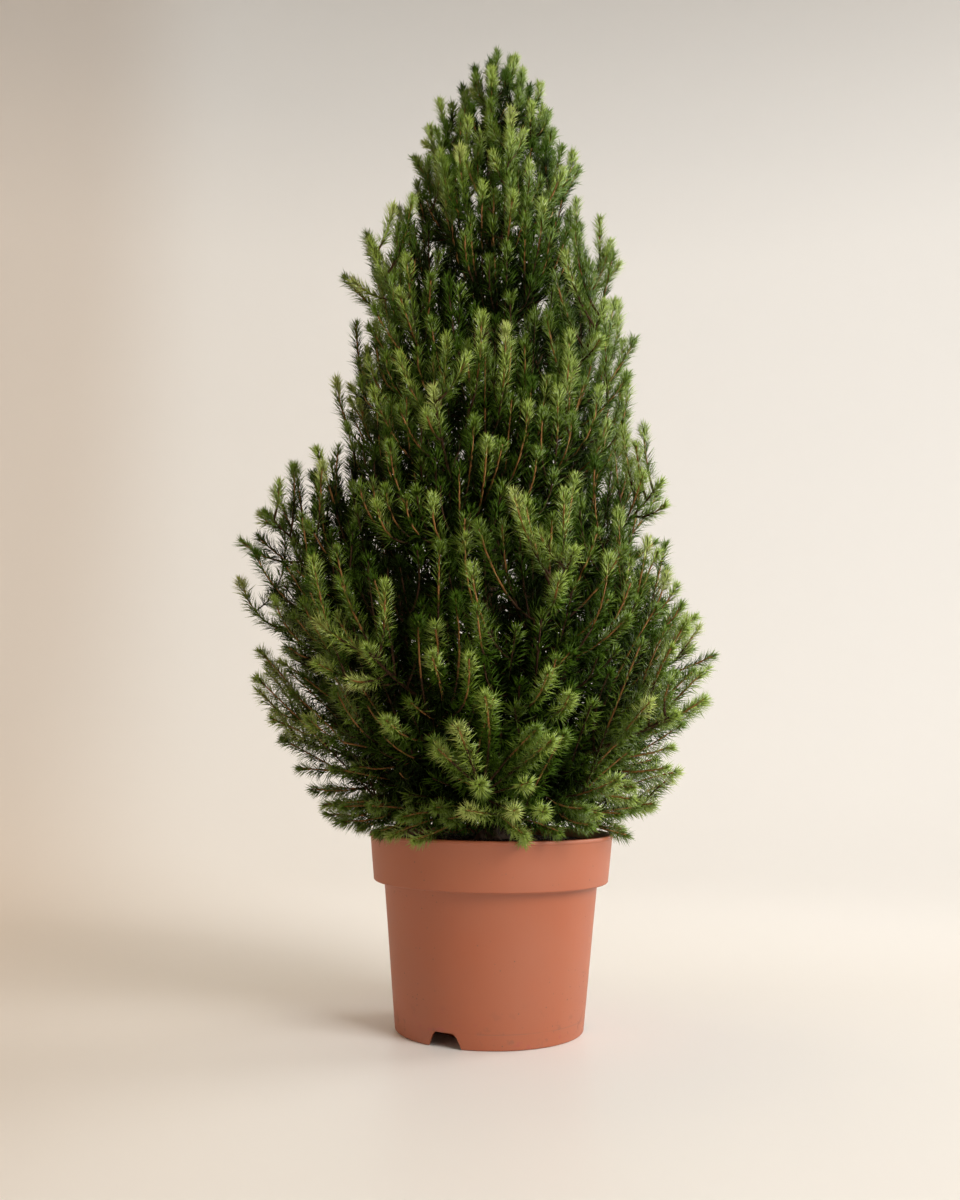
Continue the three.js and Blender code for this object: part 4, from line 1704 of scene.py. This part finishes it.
@dataclass
class PottingSoil:
    """The soil: a crumbled surface in the pot, with peat lumps and chips of bark scattered on it."""

    rings: int = 70
    sides: int = 200
    inmost_ring: float = 1.5 * MM
    relief: float = 1.7 * MM
    middle_relief: float = 0.2  # of the relief, at the trunk
    relief_growth: float = 4  # how fast it comes to its full height outwards
    swell: float = 1.5  # how long the top stays high towards the edge
    lump_scale: float = 75  # lumps to a metre
    crumb_scale: float = 260
    crumb_share: float = 0.6
    top_sides: int = 72  # of the surface that crumbs lie on
    top_rings: int = 26

    def build(self) -> None:
        """Makes the soil and what lies on it."""
        peat = SoilFinish("peat", rgba(0.010, 0.006, 0.004), rgba(0.045, 0.026, 0.016)).make()
        chips = SoilFinish("bark_chips", rgba(0.035, 0.016, 0.009), rgba(0.12, 0.06, 0.03), 300).make()
        fibres = SoilFinish("dry_fibres", rgba(0.12, 0.075, 0.04), rgba(0.33, 0.22, 0.13), 300).make()
        bed = object_from(self._bed("soil_bed"), peat)
        bed.data.shade_smooth()
        put_in_place(bed, ["soil"])
        for scatter in (
            Scatter("soil_lumps", 230_000, (2.6 * MM, 2.3 * MM, 1.8 * MM), 3, peat),
            Scatter("soil_chips", 90_000, (6.5 * MM, 2.6 * MM, 1.0 * MM), 8, chips),
            Scatter("soil_fibres", 42_000, (9.0 * MM, 0.7 * MM, 0.6 * MM), 13, fibres),
        ):
            put_in_place(object_from(scatter.on(self._top()), scatter.material), [])

    def surface(self, x: float, y: float) -> float:
        """The soil's height at a place, which is smoothest round the trunk.

        Args:
            x: Across.
            y: Towards the back.

        Returns:
            The height.
        """
        share = min(math.hypot(x, y) / (POT.rim_radius - 6 * MM), 1)
        swell = mix(SOIL.middle_level, SOIL.edge_level, share**self.swell)
        lumps = noise.noise(Vector((x, y, 0)) * self.lump_scale)
        lumps += self.crumb_share * noise.noise(Vector((x, y, 3)) * self.crumb_scale)
        return swell + self.relief * lumps * min(1, share * self.relief_growth + self.middle_relief)

    def _wall(self) -> list[tuple[float, float]]:
        """The soil's side, from the edge down to the middle of the floor.

        Returns:
            Radius and height of each point.
        """
        p, inside = POT, POT.wall + SOIL.gap
        band_share = (SOIL.edge_level - p.shelf) / (p.band_height - p.bead_height)
        edge = mix(p.band_bottom_radius, p.rim_radius - p.bead, band_share) - inside
        return [
            (edge, SOIL.edge_level - 2 * MM),
            (p.band_bottom_radius - inside - 0.4 * MM, p.shelf + inside + 0.8 * MM),
            (p.body_radius(p.shelf) - inside - 0.2 * MM, p.shelf + inside - 1 * MM),
            (p.body_radius(p.floor_lift) - inside - 0.2 * MM, p.floor_lift + inside),
            (p.hub_radius + p.ramp - 1.5 * MM, p.floor_lift + inside),
            (p.hub_radius - 1.5 * MM, inside),
        ]

    def _bed(self, name: str) -> bpy.types.Mesh:
        """The whole body of soil, with its crumbled top.

        Args:
            name: The mesh's name.

        Returns:
            The mesh.
        """
        wall = self._wall()
        low = turned_rings(wall[::-1], self.sides)
        top = self._surface_rings(np.linspace(wall[0][0], self.inmost_ring, self.rings), self.sides)
        return mesh_from(name, *tube(np.concatenate([low, top]), closed_tip=False))

    def _surface_rings(self, radii: Array, sides: int) -> Array:
        """Rings of points on the crumbled top.

        Args:
            radii: A radius for each ring.
            sides: Points to a ring.

        Returns:
            Points as ring, side and coordinate.
        """
        rings = turned_rings([(radius, 0.0) for radius in radii], sides)
        rings[..., 2] = [[self.surface(x, y) for x, y, _ in ring] for ring in rings]
        return rings

    def _top(self) -> bpy.types.Mesh:
        """The open top surface that crumbs are scattered on.

        Returns:
            The mesh, in faces of four corners.
        """
        radii = np.linspace(POT.rim_radius - 5 * MM, TRUNK.flare_radius, self.top_rings)
        rings = self._surface_rings(radii, self.top_sides)
        first = np.arange(rings.size // 3).reshape(rings.shape[:2])
        a, b = first[:-1], np.roll(first[:-1], -1, axis=1)
        faces = np.stack([a, b, np.roll(first[1:], -1, axis=1), first[1:]], -1).reshape(-1, 4)
        return mesh_from("soil_top", rings.reshape(-1, 3), faces)


@dataclass
class Scatter:
    """Geometry Nodes that scatter small crumbs over a surface."""

    name: str
    density: float  # crumbs to a square metre
    size: tuple[float, float, float]  # of a crumb, before each grows or shrinks
    seed: int
    material: bpy.types.Material
    wobble: float = 0.16  # of the crumb's own size
    tilt: float = 0.5  # radians either way
    growth: tuple[float, float] = (0.45, 1.25)

    def on(self, surface: bpy.types.Mesh) -> bpy.types.Mesh:
        """The crumbs on a surface, as one mesh.

        Args:
            surface: The open surface that they lie on.

        Returns:
            The crumbs alone.
        """
        carrier = linked(self.name + "_carrier", surface)
        tree, ids = self._tree()
        modifier = carrier.modifiers.new("scatter", "NODES")
        modifier.node_group = tree
        modifier[ids["Density"]] = self.density
        modifier[ids["Seed"]] = self.seed
        modifier[ids["Size"]] = self.size
        mesh = evaluated_mesh(carrier, self.name)
        bpy.data.objects.remove(carrier)
        return mesh

    def _tree(self) -> tuple[bpy.types.NodeTree, dict[str, str]]:
        """The node tree, with named inputs for the density, the seed and the size.

        Returns:
            The tree, and each input's identifier by its name.
        """
        tree = bpy.data.node_groups.new(self.name, "GeometryNodeTree")
        face = tree.interface
        face.new_socket("Geometry", in_out="INPUT", socket_type="NodeSocketGeometry")
        kinds = {"Density": "NodeSocketFloat", "Seed": "NodeSocketInt", "Size": "NodeSocketVector"}
        ids = {n: face.new_socket(n, in_out="INPUT", socket_type=k).identifier for n, k in kinds.items()}
        face.new_socket("Geometry", in_out="OUTPUT", socket_type="NodeSocketGeometry")

        add = partial(add_node, tree)
        source = add("NodeGroupInput", {}).outputs
        points = add(
            "GeometryNodeDistributePointsOnFaces",
            {"Mesh": source["Geometry"], "Density": source["Density"], "Seed": source["Seed"]},
        )
        crumb = add("GeometryNodeMeshIcoSphere", {"Radius": 0.5, "Subdivisions": 1})
        limits = {0: (-self.wobble,) * 3, 1: (self.wobble,) * 3}
        wobble = add("FunctionNodeRandomValue", limits, data_type="FLOAT_VECTOR")
        rough = add("GeometryNodeSetPosition", {"Geometry": crumb.outputs[0], "Offset": wobble.outputs[0]})
        shape = add("GeometryNodeTransform", {"Geometry": rough.outputs[0], "Scale": source["Size"]})
        turn = add(
            "FunctionNodeRandomValue",
            {
                0: (-self.tilt, -self.tilt, 0),
                1: (self.tilt, self.tilt, 2 * math.pi),
                "Seed": source["Seed"],
            },
            data_type="FLOAT_VECTOR",
        )
        least, most = self.growth
        grow = add("FunctionNodeRandomValue", {2: least, 3: most, "Seed": source["Seed"]}, data_type="FLOAT")
        placed = add(
            "GeometryNodeInstanceOnPoints",
            {
                "Points": points.outputs["Points"],
                "Instance": shape.outputs[0],
                "Rotation": turn.outputs[0],
                "Scale": grow.outputs[1],
            },
        )
        real = add("GeometryNodeRealizeInstances", {0: placed.outputs[0]})
        dressed = add("GeometryNodeSetMaterial", {"Geometry": real.outputs[0], "Material": self.material})
        add("NodeGroupOutput", {0: dressed.outputs[0]})
        return tree, ids


# ---- Studio ----


@dataclass(frozen=True)
class AreaLight:
    """A soft studio light."""

    name: str
    place: tuple[float, float, float]
    target: tuple[float, float, float]
    width: float
    height: float
    power: float
    colour: tuple[float, float, float]
    spread: float = 180  # degrees

    def build(self) -> None:
        """Adds the light."""
        data = bpy.data.lights.new(self.name, "AREA")
        data.shape = "RECTANGLE"
        data.size, data.size_y = self.width, self.height
        data.energy = self.power
        data.color = self.colour
        data.spread = math.radians(self.spread)
        lamp = linked(self.name, data)
        lamp.location = self.place
        lamp.rotation_euler = (Vector(self.target) - Vector(self.place)).to_track_quat("-Z", "Y").to_euler()


@dataclass
class Studio:
    """A pale floor that sweeps up all round, soft lights and the camera."""

    flat_rings: tuple[float, ...] = (0.4, 0.8)  # radii on the flat of the floor
    floor_radius: float = 1.1
    floor_level: float = -0.2 * MM  # which keeps the pot's foot clear of it
    sweep: float = 2.0
    sweep_steps: int = 24
    wall_top: float = 3.4
    sides: int = 128
    paint: tuple = rgba(0.835, 0.818, 0.788)
    shade_paint: tuple = rgba(0.72, 0.66, 0.60)  # painted shade: the backdrop is darker and warmer towards the left
    shade_from: float = 0.4  # metres to the left of the plant, in the middle of the change
    shade_fade: float = 0.28
    shade_turn: float = 0.28  # how far the change is turned towards the front
    sky: tuple = rgba(1.0, 0.87, 0.70)
    sky_strength: float = 0.10
    lights: tuple[AreaLight, ...] = (
        # Place and target, width and height, power, colour, and the spread where it is narrowed.
        AreaLight("key", (1.76, -1.62, 1.6), (0.0, 0.0, 0.4), 1.4, 1.3, 47.5, (1.0, 0.985, 0.96), 150),
        AreaLight("side", (1.8, 0.72, 0.85), (0.0, 0.0, 0.72), 1.0, 0.8, 7, (1.0, 0.99, 0.97), 85),
        AreaLight("top", (-0.7, 0.5, 2.4), (-0.9, 0.7, 0.0), 1.6, 1.6, 12, (1.0, 0.72, 0.42)),
        AreaLight("fill", (-1.6, 0.6, 0.5), (0.0, 0.0, 0.2), 1.0, 0.9, 3.2, (1.0, 0.66, 0.38)),
        AreaLight("wall", (0.9, 0.4, 1.9), (0.8, 3.0, 1.6), 1.8, 1.2, 33, (0.94, 0.965, 0.985)),
    )
    camera_place: tuple[float, float, float] = (-12.4 * MM, -1014.8 * MM, 234.4 * MM)
    pitch: float = 7.36  # degrees up
    roll: float = 0.744
    lens: float = 34.5  # millimetres, as is the sensor
    sensor: float = 36.0

    def build(self) -> None:
        """Makes the floor, the lights, the world and the camera."""
        self._floor()
        for light in self.lights:
            light.build()
        world = bpy.data.worlds.new("studio")
        bpy.context.scene.world = world
        world.use_nodes = True
        background = world.node_tree.nodes["Background"]
        background.inputs["Color"].default_value = self.sky
        background.inputs["Strength"].default_value = self.sky_strength
        bpy.context.scene.view_settings.view_transform = "Standard"
        self._camera()

    def _floor(self) -> None:
        """A round floor whose edge curves up into a wall."""
        profile = [(radius, 0.0) for radius in self.flat_rings]
        for a in np.radians(np.linspace(-90, 0, self.sweep_steps)):
            profile.append((self.floor_radius + self.sweep * math.cos(a), self.sweep * (1 + math.sin(a))))
        profile.append((self.floor_radius + self.sweep, self.wall_top))
        rings = turned_rings([(radius, z + self.floor_level) for radius, z in profile], self.sides)
        points, faces = tube(rings, closed_tip=False)
        g = ShaderGraph("cream_paper")
        # Painted shade: the paper is coloured darker and warmer towards the left.
        painted_shade = (g.axis("X") * -1 - g.axis("Y") * self.shade_turn).above(self.shade_from, self.shade_fade)
        colour = g.blend(painted_shade, self.paint, self.shade_paint)
        material = g.finish(Base_Color=colour, Roughness=0.4, Specular_IOR_Level=0.18)
        stage = object_from(mesh_from("floor", points, faces[: -self.sides]), material)
        stage.data.shade_smooth()

    def _camera(self) -> None:
        """The camera: level across but for a slight roll, looking a little up."""
        data = bpy.data.cameras.new("camera")
        data.lens = self.lens
        data.sensor_width = self.sensor
        camera = linked("camera", data)
        tilt = Matrix.Rotation(math.radians(90 + self.pitch), 4, "X")
        lean = Matrix.Rotation(math.radians(self.roll), 4, "Z")
        camera.matrix_world = Matrix.Translation(self.camera_place) @ tilt @ lean
        bpy.context.scene.camera = camera


# ---- The whole plant ----


def main() -> None:
    """Builds the studio, the pot and the plant."""
    Studio().build()
    NurseryPot().build()
    PottingSoil().build()
    crown = Crown()
    BarkedWood(crown).build()
    masses = [f"foliage_{n + 1:02d}" for n in range(BOUGHS.count)] + ["foliage_leader"]
    shoots = Growth(crown).grow()
    LOG.info("%d shoots, %.1f m in all", len(shoots), sum(shoot.length for shoot in shoots))
    TwigWork(crown, shoots, masses).build()
    NeedleSprays(crown, shoots, masses).build()


if __name__ == "__main__":
    main()
